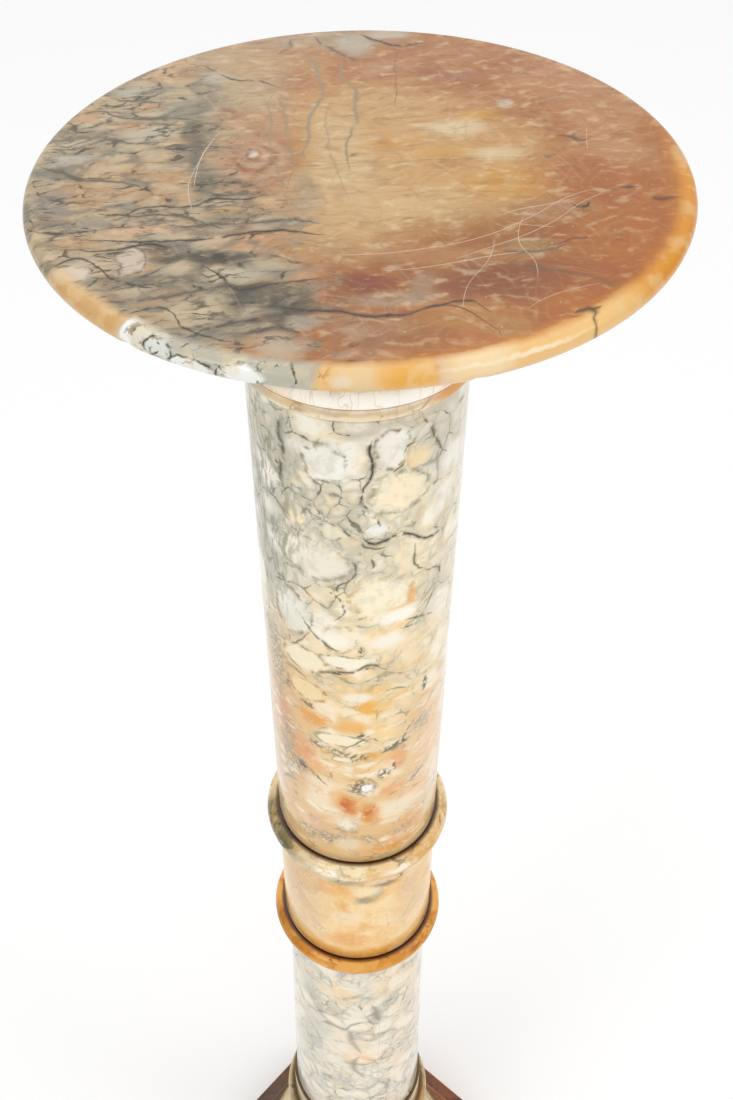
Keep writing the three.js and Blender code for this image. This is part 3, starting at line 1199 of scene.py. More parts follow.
        # Painted glow: light coming through the thin edge, wide and warm, then stronger near the edge.
        marble.paint(marble.both(wide, lit), self.painted_wide_glow, 0.5)
        marble.paint(marble.both(near, lit), self.painted_edge_glow, 0.8)
        nose = marble.add("MapRange", {"Value": reach, "From Min": 131.0, "From Max": 136.0})
        arc = marble.drift(marble.wall(TOP_RADIUS), 6, 1.6)
        for patch in self.rim_patches():
            marble.patch(arc, patch, nose)
        across = marble.add("SeparateXYZ", {0: arc})
        away = marble.add("Math", {0: across, 1: -62.0}, operation="SUBTRACT")
        away = marble.add("Math", {0: away}, operation="ABSOLUTE")
        band = marble.add("MapRange", {"Value": away, "From Min": 44.0, "From Max": 36.0})
        gap, _ = marble.lumps(marble.drift(marble.place, 4, 1.5), 6.5, (1.6, 1.6, 1.0))
        fissures = marble.both(marble.seams(gap, marble.place, 6, -0.5, 0.7), band)
        marble.paint(marble.both(fissures, nose), "#4a4430", 0.9)
        small, _ = marble.lumps(marble.drift(marble.place, 3, 1.0, 1.0), 3.2)
        crumbs = marble.both(marble.both(marble.seams(small, marble.place, 7, -0.6, 0.5), band), nose)
        marble.paint(crumbs, "#6a6040", 0.8)
        marble.paint(marble.both(nose, marble.clouds(flow, 12, 0.5, 0.62)), "#f0d7a8", 0.35)


@dataclass
class TopSlab(Stone):
    """The round top slab with its half-round edge."""

    node: str = "top_slab"
    slot: str = "honey_marble"
    sides: int = 720
    nose: float = 4.5
    look: HoneyTop = field(default_factory=HoneyTop)
    chips: tuple[Chip, ...] = (
        Chip(-131.5, 138.5, 1063.0, 3.4, 0.8),
        Chip(-76.0, 138.0, 1062.5, 3.0, 0.6),
        Chip(-112.0, 139.5, 1066.5, 2.2, 0.4),
        Chip(-24.0, 139.0, 1067.0, 2.2, 0.4),
        Chip(38.0, 138.5, 1063.0, 3.4, 0.7),
        Chip(141.0, 139.0, 1067.0, 2.6, 0.5),
        Chip(-168.0, 138.5, 1062.5, 3.0, 0.6),
        Chip(96.0, 139.0, 1067.0, 2.4, 0.5),
    )

    def outline(self) -> Outline:
        """A flat slab whose edge is half round."""
        rim = self.width / 2
        return Outline().bead(rim - self.nose, rim, self.rise).close()

    def finish(self) -> bpy.types.Material:
        """Honey marble."""
        return self.look.material()


@dataclass(frozen=True)
class VeinedCream:
    """Polished cream marble of the capital: glassy and warm, with grey veins, tan dirt and painted shade in
    its hollows, and a painted highlight on its bead.
    """

    ground: str = "#efe5d0"
    warm: str = "#e6c79b"
    cool: str = "#c9c3b2"
    vein: str = "#8b8676"
    tan: str = "#c2935c"
    radius: float = 57.0

    def material(self, foot: float) -> bpy.types.Material:
        """Paints the capital.

        Args:
            foot: the height of its underside.

        Returns:
            The capital's material.
        """
        marble = Marble("polished_cream_marble", self.ground)
        flow = marble.drift(marble.place, 20, 5.0)
        marble.paint(marble.clouds(flow, 18, 0.45, 0.65), self.warm, 0.7)
        marble.paint(marble.clouds(flow, 12, 0.55, 0.7), self.cool, 0.6)
        gap, chance = marble.lumps(marble.drift(flow, 5, 1.5), 17)
        marble.paint(marble.add("MapRange", {"Value": chance, "From Min": 0.6}), "#fbf4e4", 0.7)
        marble.paint(marble.seams(gap, marble.place, 14, -0.8, 2.0), self.cool, 0.7)
        marble.paint(marble.seams(gap, marble.place, 9, -0.9, 0.9), self.vein, 0.8)
        wall = marble.drift(marble.wall(self.radius), 9, 2.5)
        for patch in (
            Patch("#a39d8c", -62, foot + 12, 16, 14, 0.7),
            # Tan stone with painted shade: a band at the top of the band, under the overhanging bead.
            Patch("#cdac78", 0, foot + 7, 90, 2.0, 0.6),
            Patch("#f0d9ae", -8, foot + 2.5, 40, 2.5, 0.7),
            Patch("#e09a45", 50, foot + 4, 16, 5, 0.85),
            Patch("#d79a52", 46, foot + 10, 12, 11, 0.85),
            # Painted highlight: the front of the bead whiter, where the light falls on it.
            Patch("#fffaf0", 4, foot + 14, 36, 5, 0.9),
        ):
            marble.patch(wall, patch)
        marble.paint(marble.wisps(marble.place, 6, 0.025, (1.0, 1.0, 6.0), 1.0), "#c9ab7c", 0.4)
        # Tan in the quirks and darker at the foot: dirt in the hollows, and painted shade under the bead and
        # at the joint.
        marble.dirt_and_shade(((foot + 9.2, 0.9, 0.75), (foot + 20.4, 1.0, 0.7)), self.tan)
        marble.dirt_and_shade(((foot, 1.2, 0.75),), "#8c6a40")
        return marble.polish((0.12, 0.24), 30, 0.9)


@dataclass
class Capital(Stone):
    """The turned stone under the top: a band, a bead and a flare with a lip."""

    node: str = "capital"
    slot: str = "cream_marble"
    sides: int = 300
    bead_width: float = 119.0
    bead_height: float = 11.0
    neck_width: float = 106.0
    band_width: float = 115.0
    band_height: float = 9.0
    ease: float = 3.0
    lip_height: float = 6.0
    quirk: float = 1.0
    look: VeinedCream = field(default_factory=VeinedCream)
    chips: tuple[Chip, ...] = (Chip(60.0, 91.5, 1045.0, 3.5, 0.7), Chip(-150.0, 91.5, 1049.0, 3.0, 0.6))

    def outline(self) -> Outline:
        """A band with an eased foot, a bead, and a flare that opens to a lip."""
        band = self.band_width / 2
        lip = self.width / 2
        flare = self.rise - self.band_height - self.bead_height - self.lip_height
        return (
            Outline()
            .to(band - self.ease)
            .to(band, self.ease)
            .to(band, self.band_height - self.ease)
            .bead(band - self.quirk, self.bead_width / 2, self.bead_height)
            .sweep(self.neck_width / 2, lip - self.quirk, flare)
            .band(lip, self.lip_height)
            .close()
        )

    def finish(self) -> bpy.types.Material:
        """Cream marble."""
        return self.look.material(self.foot)


def wall_patch(
    colour: str,
    azimuth: float,
    height: float,
    across: float,
    up: float,
    strength: float = 0.9,
    soft: float = 0.5,
    outline: str = "",
) -> Patch:
    """Gives a patch on a shaft's wall.

    Args:
        colour: its colour.
        azimuth: where it is around the shaft, in degrees, with -90 at the middle of the shown side.
        height: its middle's height.
        across: its reach around the shaft.
        up: its reach up and down.
        strength: how much of its colour shows.
        soft: how soft its edge is.
        outline: the colour of its outline, if it has one.

    Returns:
        The patch, on the wall's flat coordinates.
    """
    arc = math.radians(azimuth + 90) * SHAFT_RADIUS
    return Patch(colour, arc, height, across, up, strength, soft, outline)


@dataclass(frozen=True)
class Breccia:
    """Polished breccia, cool and glassy: cream lumps in a net of olive seams, honey and orange lower down."""

    ground: str = "#f0e9d6"
    warm: str = "#f6e3bd"
    cool: str = "#dcd9cb"
    halo: str = "#bdb9a6"
    vein: str = "#6e6b57"
    dark: str = "#45413a"

    def patches(self) -> tuple[Patch, ...]:
        """The clouds behind the seams."""
        return (
            wall_patch("#f4dcae", -75, 853.5, 60, 70, 0.6, 0.5),
            wall_patch("#f2d7a4", -95, 782.5, 55, 40, 0.8, 0.6),
            wall_patch("#ecd2a8", -60, 701.5, 60, 60, 0.8, 0.6),
            wall_patch("#eed9b6", -100, 656, 70, 35, 0.7, 0.6),
            wall_patch("#e7c096", -38, 732, 22, 50, 0.6, 0.6),
            wall_patch("#b4b1a3", -158, 909, 20, 62, 0.85, 0.5),
            wall_patch("#a3a092", -149, 871.5, 10, 24, 0.85, 0.5),
            wall_patch("#b9b7aa", -134, 952.5, 8, 24, 0.8, 0.5),
            wall_patch("#c9c7ba", -128, 875.5, 16, 16, 0.6, 0.6),
            wall_patch("#b4b0a2", -152, 701.5, 16, 22, 0.7, 0.6),
            wall_patch("#c6c1b2", -46, 955, 20, 26, 0.6, 0.6),
            wall_patch("#d3ccbc", -44, 851.5, 14, 18, 0.6, 0.6),
            wall_patch("#f3c06a", -88, 775.5, 9, 8, 0.9, 0.6),
            wall_patch("#eeb55c", -97, 759, 9, 7, 0.9, 0.6),
            wall_patch("#e6a956", -126, 758, 9, 7, 0.8, 0.6),
            wall_patch("#efb870", -95, 806, 12, 5, 0.6, 0.6),
            wall_patch("#f2c888", -72, 803, 12, 8, 0.6, 0.6),
            wall_patch("#eec489", -112, 777.5, 16, 18, 0.5, 0.7),
            wall_patch("#d49a78", -152, 747, 14, 13, 0.9, 0.5),
            wall_patch("#cf8f5c", -137, 724, 12, 14, 0.9, 0.6),
            wall_patch("#d9a273", -130, 707.5, 8, 9, 0.7, 0.6),
            wall_patch("#dd9f68", -68, 724, 7, 10, 0.8, 0.6),
            wall_patch("#e0a878", -68, 691.5, 10, 9, 0.7, 0.6),
            wall_patch("#d9a878", -52, 754, 10, 12, 0.6, 0.6),
            wall_patch("#e3a85c", -104, 689.5, 14, 16, 0.7, 0.7),
            wall_patch("#c8772a", -102, 684.5, 4.5, 9, 0.95, 0.5),
            wall_patch("#d08238", -88, 677, 4, 10, 0.9, 0.5),
            wall_patch("#d9934a", -83, 669, 6, 8, 0.9, 0.5),
            wall_patch("#b9b19b", -114, 640.5, 8, 10, 0.6, 0.7),
            wall_patch("#b3ab95", -98, 656, 4, 12, 0.6, 0.7),
            wall_patch("#e2b382", -62, 646, 18, 14, 0.7, 0.6),
            wall_patch("#d9b088", -160, 661, 14, 16, 0.6, 0.6),
        )

    def washes(self) -> tuple[Patch, ...]:
        """The warm washes that lie over everything, honey in the middle and orange towards the foot."""
        return (
            wall_patch("#f6cf8c", -84, 800, 60, 60, 0.15, 0.6),
            wall_patch("#f3c985", -96, 745, 70, 46, 0.25, 0.6),
            wall_patch("#efc07c", -96, 690, 90, 44, 0.3, 0.6),
            wall_patch("#cf9c60", -150, 735, 24, 80, 0.6, 0.6),
            wall_patch("#d9a65c", -92, 638, 90, 30, 0.6, 0.6),
        )

    def pale_lumps(self) -> tuple[Patch, ...]:
        """The cream lumps that stand out on the lower half."""
        return (
            wall_patch("#f4e9cd", -104, 728, 6, 3, 0.85, 0.4, "#8b876e"),
            wall_patch("#f2efe6", -88.5, 700.5, 3.6, 4.4, 1.0, 0.4, "#6b6852"),
            wall_patch("#f7efd9", -101, 814, 15, 4.5, 0.9, 0.35, "#8d876c"),
            wall_patch("#f5e9cb", -127, 808, 13, 9, 0.85, 0.4, "#a8925f"),
            wall_patch("#f1d8a8", -127, 783, 12, 8, 0.8, 0.45, "#b98d4e"),
            wall_patch("#f4e6c6", -104, 745, 15, 5, 0.95, 0.35, "#9a9372"),
            wall_patch("#fdf6e6", -70, 847, 12, 5, 0.9, 0.45),
            wall_patch("#f8f0e6", -76, 829, 9, 4.5, 0.8, 0.5),
            wall_patch("#f7f2e4", -108, 831, 10, 6, 0.85, 0.45),
            wall_patch("#f5ecd6", -94, 785, 8, 3.5, 0.85, 0.5),
            wall_patch("#f3e6cb", -117, 700, 12, 6, 0.6, 0.55),
            wall_patch("#f3e5cb", -120, 680, 10, 10, 0.5, 0.55),
            wall_patch("#f8ead0", -66, 673, 13, 9, 0.6, 0.55),
            wall_patch("#f7ecd6", -101, 662, 7, 5, 0.7, 0.55),
            wall_patch("#ecdfc2", -101, 640, 8, 6, 0.5, 0.5),
        )

    def stains(self) -> tuple[Patch, ...]:
        """The honey, orange and salmon stains on the lower half."""
        return (
            wall_patch("#edae4c", -87.5, 775, 6, 7, 0.9, 0.5),
            wall_patch("#e5a04a", -122, 760, 9, 6, 0.9, 0.5),
            wall_patch("#edb25c", -98, 758, 9, 5, 0.85, 0.5),
            wall_patch("#e8ae57", -87, 731, 7, 3.5, 0.85, 0.5),
            wall_patch("#f0bd72", -84, 790, 8, 3, 0.8, 0.5),
            wall_patch("#ecae62", -62.5, 858, 3.5, 7, 0.8, 0.5),
            wall_patch("#efb870", -68, 852, 9, 2.5, 0.8, 0.5),
            wall_patch("#f2c98e", -76, 838, 12, 2.5, 0.7, 0.5),
            wall_patch("#d8926a", -148, 745, 5, 15, 0.85, 0.5),
            wall_patch("#dd9860", -131, 723, 8, 12, 0.9, 0.5),
            wall_patch("#e6ab70", -122, 714, 9, 7, 0.75, 0.6),
            wall_patch("#e5a672", -66, 724, 5, 10, 0.85, 0.5),
            wall_patch("#e8a76f", -70, 694, 9, 4.5, 0.85, 0.5),
            wall_patch("#ecb88c", -57, 683, 9, 4.5, 0.7, 0.6),
            wall_patch("#efc196", -38, 722, 14, 44, 0.5, 0.6),
            wall_patch("#e8b272", -106, 688, 12, 9, 0.75, 0.6),
            wall_patch("#d67c22", -99.5, 681, 5, 8.5, 0.95, 0.5),
            wall_patch("#bf6516", -101, 683.5, 2.4, 5, 0.8, 0.6),
            wall_patch("#da8630", -85.5, 674, 6, 8, 0.95, 0.5),
            wall_patch("#c46a1f", -87, 677, 3, 4, 0.8, 0.6),
            wall_patch("#e0913c", -81, 668, 7, 4.5, 0.9, 0.5),
            wall_patch("#dc9348", -72, 634, 12, 5, 0.8, 0.6),
            wall_patch("#d9954a", -52, 650, 9, 10, 0.7, 0.6),
            wall_patch("#dcab86", -122, 656, 8, 9, 0.7, 0.6),
        )

    def marks(self) -> tuple[Patch, ...]:
        """The olive and grey marks on the lower half."""
        return (
            wall_patch("#5b584a", -120.8, 737, 5, 2.6, 0.9, 0.6),
            wall_patch("#85826b", -109, 734, 8, 3, 0.85, 0.6),
            wall_patch("#6f6d58", -95, 731, 8, 3, 0.9, 0.6),
            wall_patch("#44454a", -66, 738, 5.5, 2, 0.95, 0.6),
            wall_patch("#78776a", -73, 735, 6, 2.5, 0.8, 0.6),
            wall_patch("#4d4c4c", -69, 716, 1.3, 4, 0.95, 0.5),
            wall_patch("#6d6150", -77, 712, 4.5, 4, 0.9, 0.6),
            wall_patch("#6b6852", -91, 702.5, 7.5, 8, 0.9, 0.5),
            wall_patch("#77745f", -96, 660, 3, 7, 0.85, 0.6),
            wall_patch("#8f8c78", -88, 647, 8, 3, 0.75, 0.6),
            wall_patch("#74746a", -114.5, 643, 5.5, 5, 0.85, 0.6),
            wall_patch("#8d8a76", -131, 641, 9, 5, 0.75, 0.6),
            wall_patch("#7e7c72", -134, 708, 6, 7, 0.9, 0.6),
            wall_patch("#8b8878", -152, 790, 8, 30, 0.8, 0.6),
            wall_patch("#9a9582", -118, 646, 16, 4, 0.7, 0.6),
            wall_patch("#8f8b77", -62, 648, 10, 3, 0.6, 0.6),
            wall_patch("#a09b8a", -104, 655, 3, 12, 0.7, 0.6),
            wall_patch("#8f8d80", -146, 718, 7, 26, 0.85, 0.6),
            wall_patch("#a5a294", -49, 747, 7, 8, 0.75, 0.6),
            wall_patch("#b3ae9f", -52, 700, 14, 3, 0.6, 0.6),
            wall_patch("#54503f", -91.8, 824, 1.8, 2.4, 0.9, 0.5),
            wall_patch("#7a6234", -87.5, 810, 4, 2.2, 0.85, 0.5),
            wall_patch("#55534a", -49, 779, 1.6, 6, 0.9, 0.5),
            wall_patch("#46443a", -105.5, 805, 3.5, 1.3, 0.95, 0.5),
            wall_patch("#57503c", -119, 799.5, 3, 2, 0.9, 0.5),
            wall_patch("#4f4e45", -142, 779, 2, 5, 0.85, 0.6),
            wall_patch("#6a4a2c", -124, 771, 3, 2, 0.85, 0.6),
            wall_patch("#55503f", -91.5, 750, 3.4, 1.6, 0.95, 0.5),
        )

    def clasts(self) -> tuple[Patch, ...]:
        """The large lumps that lie over the seams."""
        return (
            wall_patch("#f3f1e7", -111, 952.5, 10, 12, 0.9, 0.42, "#8b8875"),
            wall_patch("#f6f3e9", -76, 960, 9, 11, 0.85, 0.45, "#7f7b69"),
            wall_patch("#fbeccb", -72, 932.5, 15, 13, 0.9, 0.42, "#9a9682"),
            wall_patch("#f8dfb0", -62, 951.5, 7, 7, 0.8, 0.4),
            wall_patch("#eef0e9", -84, 910, 6, 4, 0.9, 0.42, "#5f5d4e"),
            wall_patch("#efe6cc", -107, 911, 6, 7, 0.85, 0.45, "#8f8b77"),
            wall_patch("#f2e2bb", -128, 912, 5, 5, 0.9, 0.4),
            wall_patch("#f1ead7", -118, 888, 20, 13, 0.85, 0.45, "#a09c88"),
            wall_patch("#e9e9df", -134, 841.5, 12, 16, 0.9, 0.42, "#6b695b"),
            wall_patch("#fdf3d8", -80, 861.5, 17, 15, 0.85, 0.45, "#c9b383"),
            wall_patch("#f5e6c4", -62, 890, 12, 12, 0.85, 0.35),
            wall_patch("#f6ead0", -104, 832, 9, 11, 0.9, 0.35, "#b3a983"),
            wall_patch("#f8e8c4", -78, 828, 14, 9, 0.85, 0.4),
            wall_patch("#f4e0b8", -60, 815, 9, 10, 0.7, 0.5),
            wall_patch("#f3e6c9", -108, 745, 15, 6, 0.9, 0.35, "#b0a27c"),
            wall_patch("#f6ddab", -78, 752, 8, 9, 0.8, 0.4),
            wall_patch("#efe9dc", -88, 698.5, 4.5, 5.5, 0.9, 0.42, "#6f6a5c"),
            wall_patch("#f1e6cc", -122, 673, 12, 9, 0.8, 0.5),
            wall_patch("#f5ead2", -104, 664, 12, 7, 0.8, 0.5),
            wall_patch("#f3e3c4", -66, 665, 12, 9, 0.8, 0.5),
        )

    def veins(self) -> tuple[Vein, ...]:
        """The darkest veins; their place around the shaft is an arc from the middle of the shown side."""
        up = Run.UP
        return (
            Vein(
                self.dark,
                ((968, 3, 0), (962, 2, 1.3), (951.5, 4, 1.1), (944.5, 2, 0.8), (932.5, -2, 0.8),
                 (920.5, 4, 1.4), (912, 8, 0)),
                up,
            ),
            Vein(
                self.dark,
                ((-4, 913, 0), (4, 903, 1.4), (16, 906, 1.2), (26, 899, 1.2), (33, 895, 1.0),
                 (46, 893, 0)),
            ),
            Vein(
                self.vein,
                ((-26, 919.5, 0), (-14, 914, 1.0), (-6, 907, 1.3), (2, 900, 1.0), (12, 899, 0)),
            ),
            Vein(
                self.dark,
                ((12, 945.5, 0), (18, 950.5, 1.0), (18.5, 959, 0.9), (26, 961, 0)),
                Run.ACROSS,
                0.9,
            ),
            Vein(
                self.dark,
                ((977, -30, 0), (965, -42, 1.2), (948.5, -40, 1.4), (932.5, -43, 1.0), (914, -50, 0)),
                up,
                0.8,
            ),
            Vein(self.vein, ((977, 26, 0), (965, 31, 1.2), (955, 35, 1.3), (942.5, 44, 0)), up),
            Vein(self.dark, ((892, 3, 0), (887, 4, 1.3), (881, 3, 0)), up, 0.9),
            Vein(
                self.vein,
                ((897, 26, 0), (884, 26, 0.8), (872.5, 34, 1.0), (867.5, 43, 1.6), (860.5, 46, 0)),
                up,
            ),
            Vein(
                self.vein,
                ((897, -11, 0), (884, -4, 0.7), (869.5, -14, 0.9), (855.5, -10, 0.9), (843.5, -18, 0)),
                up,
            ),
            Vein(self.vein, ((-38, 846.5, 0), (-28, 835, 1.3), (-22, 827, 1.4), (-12, 823, 0))),
            Vein(
                self.dark,
                ((-52, 815, 0), (-46, 814, 1.0), (-36, 821, 1.2), (-28, 833, 0)),
                Run.ACROSS,
                0.8,
            ),
            Vein(self.vein, ((-26, 801, 0), (-17, 805, 1.3), (-6, 806, 1.0), (4, 812, 0.9), (14, 805, 0))),
            Vein(self.vein, ((20, 841.5, 0), (30, 839.5, 0.9), (42, 834, 0))),
            Vein("#8d7446", ((-50, 797.5, 0), (-40, 795.5, 0.9), (-30, 791.5, 0))),
            Vein(self.vein, ((10, 788.5, 0), (20, 787.5, 0.9), (26, 784.5, 0)), Run.ACROSS, 0.8),
            Vein("#75653f", ((-40, 772.5, 0), (-34, 770.5, 1.4), (-28, 767.5, 0)), Run.ACROSS, 0.8),
            Vein(self.vein, ((9, 733, 0), (16, 735, 1.2), (22, 739, 1.4), (27, 746, 1.0), (33, 754, 0))),
            Vein(self.vein, ((-12, 737, 0), (-4, 743, 0.8), (4, 747, 0.9), (10, 743, 0))),
            Vein(self.dark, ((-44, 714, 0), (-38, 709, 1.6), (-30, 706, 1.4), (-22, 698, 0))),
            Vein(self.vein, ((14, 689, 0), (24, 691, 0.8), (36, 698, 1.0), (46, 700, 0)), Run.ACROSS, 0.8),
            Vein(self.vein, ((18, 836, 0), (26, 835, 0.9), (33, 841, 1.0), (40, 852, 0.9), (46, 866, 0))),
            Vein(self.vein, ((717.5, -22, 0), (709.5, -20, 0.9), (701.5, -22, 0)), up, 0.7),
            Vein("#8a8778", ((-60, 675, 0), (-54, 683.5, 1.8), (-44, 687.5, 0))),
            Vein("#9c8b67", ((24, 691.5, 0), (34, 685.5, 1.0), (46, 681, 0)), Run.ACROSS, 0.7),
        )

    def material(self, foot: float, head: float) -> bpy.types.Material:
        """Paints the shaft.

        Args:
            foot: the height of its underside.
            head: the height of its upper face.

        Returns:
            The shaft's material.
        """
        marble = Marble("polished_breccia_marble", self.ground)
        flow = marble.drift(marble.place, 26, 6.0)
        marble.paint(marble.clouds(marble.place, 26, 0.42, 0.62, bend=0.6), self.warm, 0.8)
        marble.paint(marble.clouds(marble.place, 15, 0.54, 0.7, bend=0.6), self.cool, 0.7)
        wall = marble.wall(SHAFT_RADIUS)
        around = marble.drift(marble.drift(wall, 16, 4.5), 5, 1.8, 3.0)
        for patch in self.patches():
            marble.patch(around, patch)
        much = self.spread(marble, around)
        bent = marble.drift(flow, 7, 2.6, 4.0)
        marble.crush(bent, (22.0, 8.5), much, ("#f8f4e8", self.halo, self.vein, self.dark))
        for clast in self.clasts():
            marble.patch(around, clast)
        marble.paint(marble.clouds(bent, 9, 0.48, 0.66, detail=4.0), "#c9c8b9", 0.4)
        marble.paint(marble.clouds(flow, 5, 0.5, 0.72), "#d8b67c", 0.3)
        near = marble.drift(marble.drift(wall, 14, 3.0), 4, 1.4, 3.0, around)
        for wash in self.washes():
            marble.patch(near, wash)
        self.mottle(marble, near)
        ragged = marble.clouds(near, 5.0, 0.3, 0.56)
        for stain in self.stains():
            marble.patch(near, stain, ragged)
        torn = marble.clouds(near, 2.4, 0.42, 0.56, detail=2.0)
        for mark in self.marks():
            marble.patch(near, mark, torn)
        for lump in self.pale_lumps():
            marble.patch(near, lump)
        fibres = marble.clouds(flow, 3.2, 0.46, 0.62, (1.0, 1.0, 3.6))
        marble.patch(around, wall_patch("#8d8a77", -148, 915, 22, 70, 0.75, 0.5), fibres)
        broken = marble.clouds(marble.place, 6, 0.36, 0.52)
        traced = marble.drift(marble.drift(wall, 13, 2.4), 4, 0.9, 2.0, near)
        face = marble.face(traced, WALL_SPAN, (0.0, 800.0))
        for vein in self.veins():
            marble.paint(marble.both(marble.vein(face, vein), broken), vein.colour, vein.strength)
        # Darker at the foot and the head: dirt in the joints and painted shade where the stones meet; the
        # wide faint band at the foot is painted shade and reflection of the ring below.
        marble.dirt_and_shade(((foot, 1.8, 0.95), (foot, 9.0, 0.3), (head, 1.6, 0.6)), "#5a3a18")
        return marble.polish((0.09, 0.2), 40, 0.93)

    def mottle(self, marble: Marble, near: Socket) -> None:
        """Breaks the lower half into small cream and honey lumps with thin tan seams.

        Args:
            marble: the material.
            near: the places around and up the wall.
        """
        height = marble.add("SeparateXYZ", {0: near}, 1)
        low = marble.add("MapRange", {"Value": height, "From Min": 840.0, "From Max": 770.0})
        gap, chance = marble.lumps(near, 8.0, (1.5, 0.75, 1.0))
        edge = marble.add("MapRange", {"Value": gap, "From Min": 0.2, "From Max": 2.0})
        honey = marble.add("MapRange", {"Value": chance, "From Min": 0.62, "From Max": 0.8})
        marble.paint(marble.both(marble.both(honey, edge), low), "#ecb768", 0.5)
        pale = marble.add("MapRange", {"Value": chance, "From Min": 0.38, "From Max": 0.2})
        marble.paint(marble.both(marble.both(pale, edge), low), "#f8ecd0", 0.7)
        marble.paint(marble.both(marble.seams(gap, marble.place, 9, -0.9, 0.8), low), "#a08a5c", 0.6)

    def spread(self, marble: Marble, around: Socket) -> Socket:
        """Gives a mask of where the seams show: most at the upper left, and few at the lower right.

        Args:
            marble: the material.
            around: the places around and up the wall.

        Returns:
            The mask, 0 to 1.
        """
        split = marble.add("SeparateXYZ", {0: around})
        height = split.node.outputs[1]
        upper = marble.add("MapRange", {"Value": height, "From Min": 690.0, "From Max": 860.0, "To Min": 0.3})
        left = marble.add("MapRange", {"Value": split, "From Min": 60.0, "From Max": -10.0, "To Min": 0.5})
        return marble.both(upper, left)


@dataclass
class UpperShaft(Stone):
    """The long, slightly tapering length of breccia."""

    node: str = "upper_shaft"
    slot: str = "breccia_marble"
    foot_width: float = 101.2
    look: Breccia = field(default_factory=Breccia)

    def outline(self) -> Outline:
        """A taper that widens upwards."""
        return Outline().to(self.foot_width / 2).to(self.width / 2, self.rise).close()

    def finish(self) -> bpy.types.Material:
        """Breccia."""
        return self.look.material(self.foot, self.foot + self.rise)


@dataclass(frozen=True)
class CloudedMarble:
    """Polished marble in soft clouds of two or three colours: the rings, the drums, the base and the plinth.

    Its light, cloudy depth comes from wide clouds over a pale ground; its veins are few and blurred.
    """

    name: str
    ground: str
    light: str
    deep: str
    vein: str
    cloud: float = 18.0
    lump: float = 20.0
    thick: float = 1.2
    stretch: tuple[float, float, float] = (1.0, 1.0, 1.0)
    veined: float = 0.7
    patches: tuple[Patch, ...] = ()
    veins: tuple[Vein, ...] = ()
    grime_and_shade: tuple[tuple[float, float, float], ...] = ()
    crushed: bool = False
    halo: str = "#b9b8ab"
    wispy: float = 0.5
    gloss: tuple[float, float] = (0.1, 0.22)

    def material(self, middle: float) -> bpy.types.Material:
        """Paints the stone.

        Args:
            middle: the stone's middle height, about which its drawn veins are placed.

        Returns:
            The stone's material.
        """
        marble = Marble(self.name, self.ground)
        flow = marble.drift(marble.place, self.cloud, self.cloud * 0.3)
        marble.paint(marble.clouds(flow, self.cloud, 0.42, 0.62, self.stretch), self.light, 0.85)
        marble.paint(marble.clouds(flow, self.cloud * 0.7, 0.5, 0.7, self.stretch), self.deep, 0.75)
        wall = marble.wall(SHAFT_RADIUS)
        around = marble.drift(wall, 9, 3.0, 3.0)
        for patch in self.patches:
            marble.patch(around, patch)
        bent = marble.drift(flow, 6, 2.0, 3.0)
        if self.crushed:
            much = marble.clouds(marble.place, 30, 0.34, 0.56)
            tones = (self.light, self.halo, self.vein, self.vein)
            marble.crush(bent, (self.lump, self.lump * 0.4), much, tones)
        else:
            gap, chance = marble.lumps(bent, self.lump, self.stretch)
            marble.paint(marble.add("MapRange", {"Value": chance, "From Min": 0.5}), self.light, 0.4)
            blur = marble.seams(gap, marble.place, 18, -1.2, self.thick * 2.6)
            marble.paint(blur, self.vein, self.veined * 0.4)
            marble.paint(marble.seams(gap, marble.place, 11, -0.9, self.thick), self.vein, self.veined)
        marble.paint(marble.wisps(bent, 14, 0.03, self.stretch, 4.0), self.deep, self.wispy)
        marble.paint(marble.clouds(bent, 4, 0.5, 0.75, self.stretch), self.light, 0.4)
        face = marble.face(marble.drift(marble.drift(wall, 13, 2.0), 4, 0.9), WALL_SPAN, (0.0, middle))
        for vein in self.veins:
            marble.paint(marble.vein(face, vein, 1.8, 1.6), vein.colour, vein.strength)
        # Darker at the joints: dirt in them and painted shade where the stones meet.
        marble.dirt_and_shade(self.grime_and_shade, DIRT_AND_SHADE)
        return marble.polish(self.gloss, 30, 0.95)


@dataclass
class Ring(Stone):
    """A ring between two lengths of shaft: a small fillet below and a full bead above."""

    sides: int = 300
    fillet_width: float = 109.0
    fillet_height: float = 7.8
    shaft_width: float = 101.2
    quirk: float = 1.0
    look: CloudedMarble = None

    def outline(self) -> Outline:
        """A fillet, then a bead that starts from the shaft standing on it."""
        fillet = self.fillet_width / 2
        return (
            Outline()
            .band(fillet, self.fillet_height)
            .to(fillet - self.quirk)
            .bead(self.shaft_width / 2, self.width / 2, self.rise - self.fillet_height)
            .close()
        )

    def finish(self) -> bpy.types.Material:
        """The ring's clouded marble."""
        return self.look.material(self.foot + self.rise / 2)


@dataclass
class Drum(Stone):
    """A straight or slightly tapering length of shaft of clouded marble."""

    head_width: float = 102.4
    foot_width: float = 102.4
    look: CloudedMarble = None

    def outline(self) -> Outline:
        """A straight taper."""
        return Outline().to(self.foot_width / 2).to(self.head_width / 2, self.rise).close()

    def finish(self) -> bpy.types.Material:
        """The drum's clouded marble."""
        return self.look.material(self.foot + self.rise / 2)


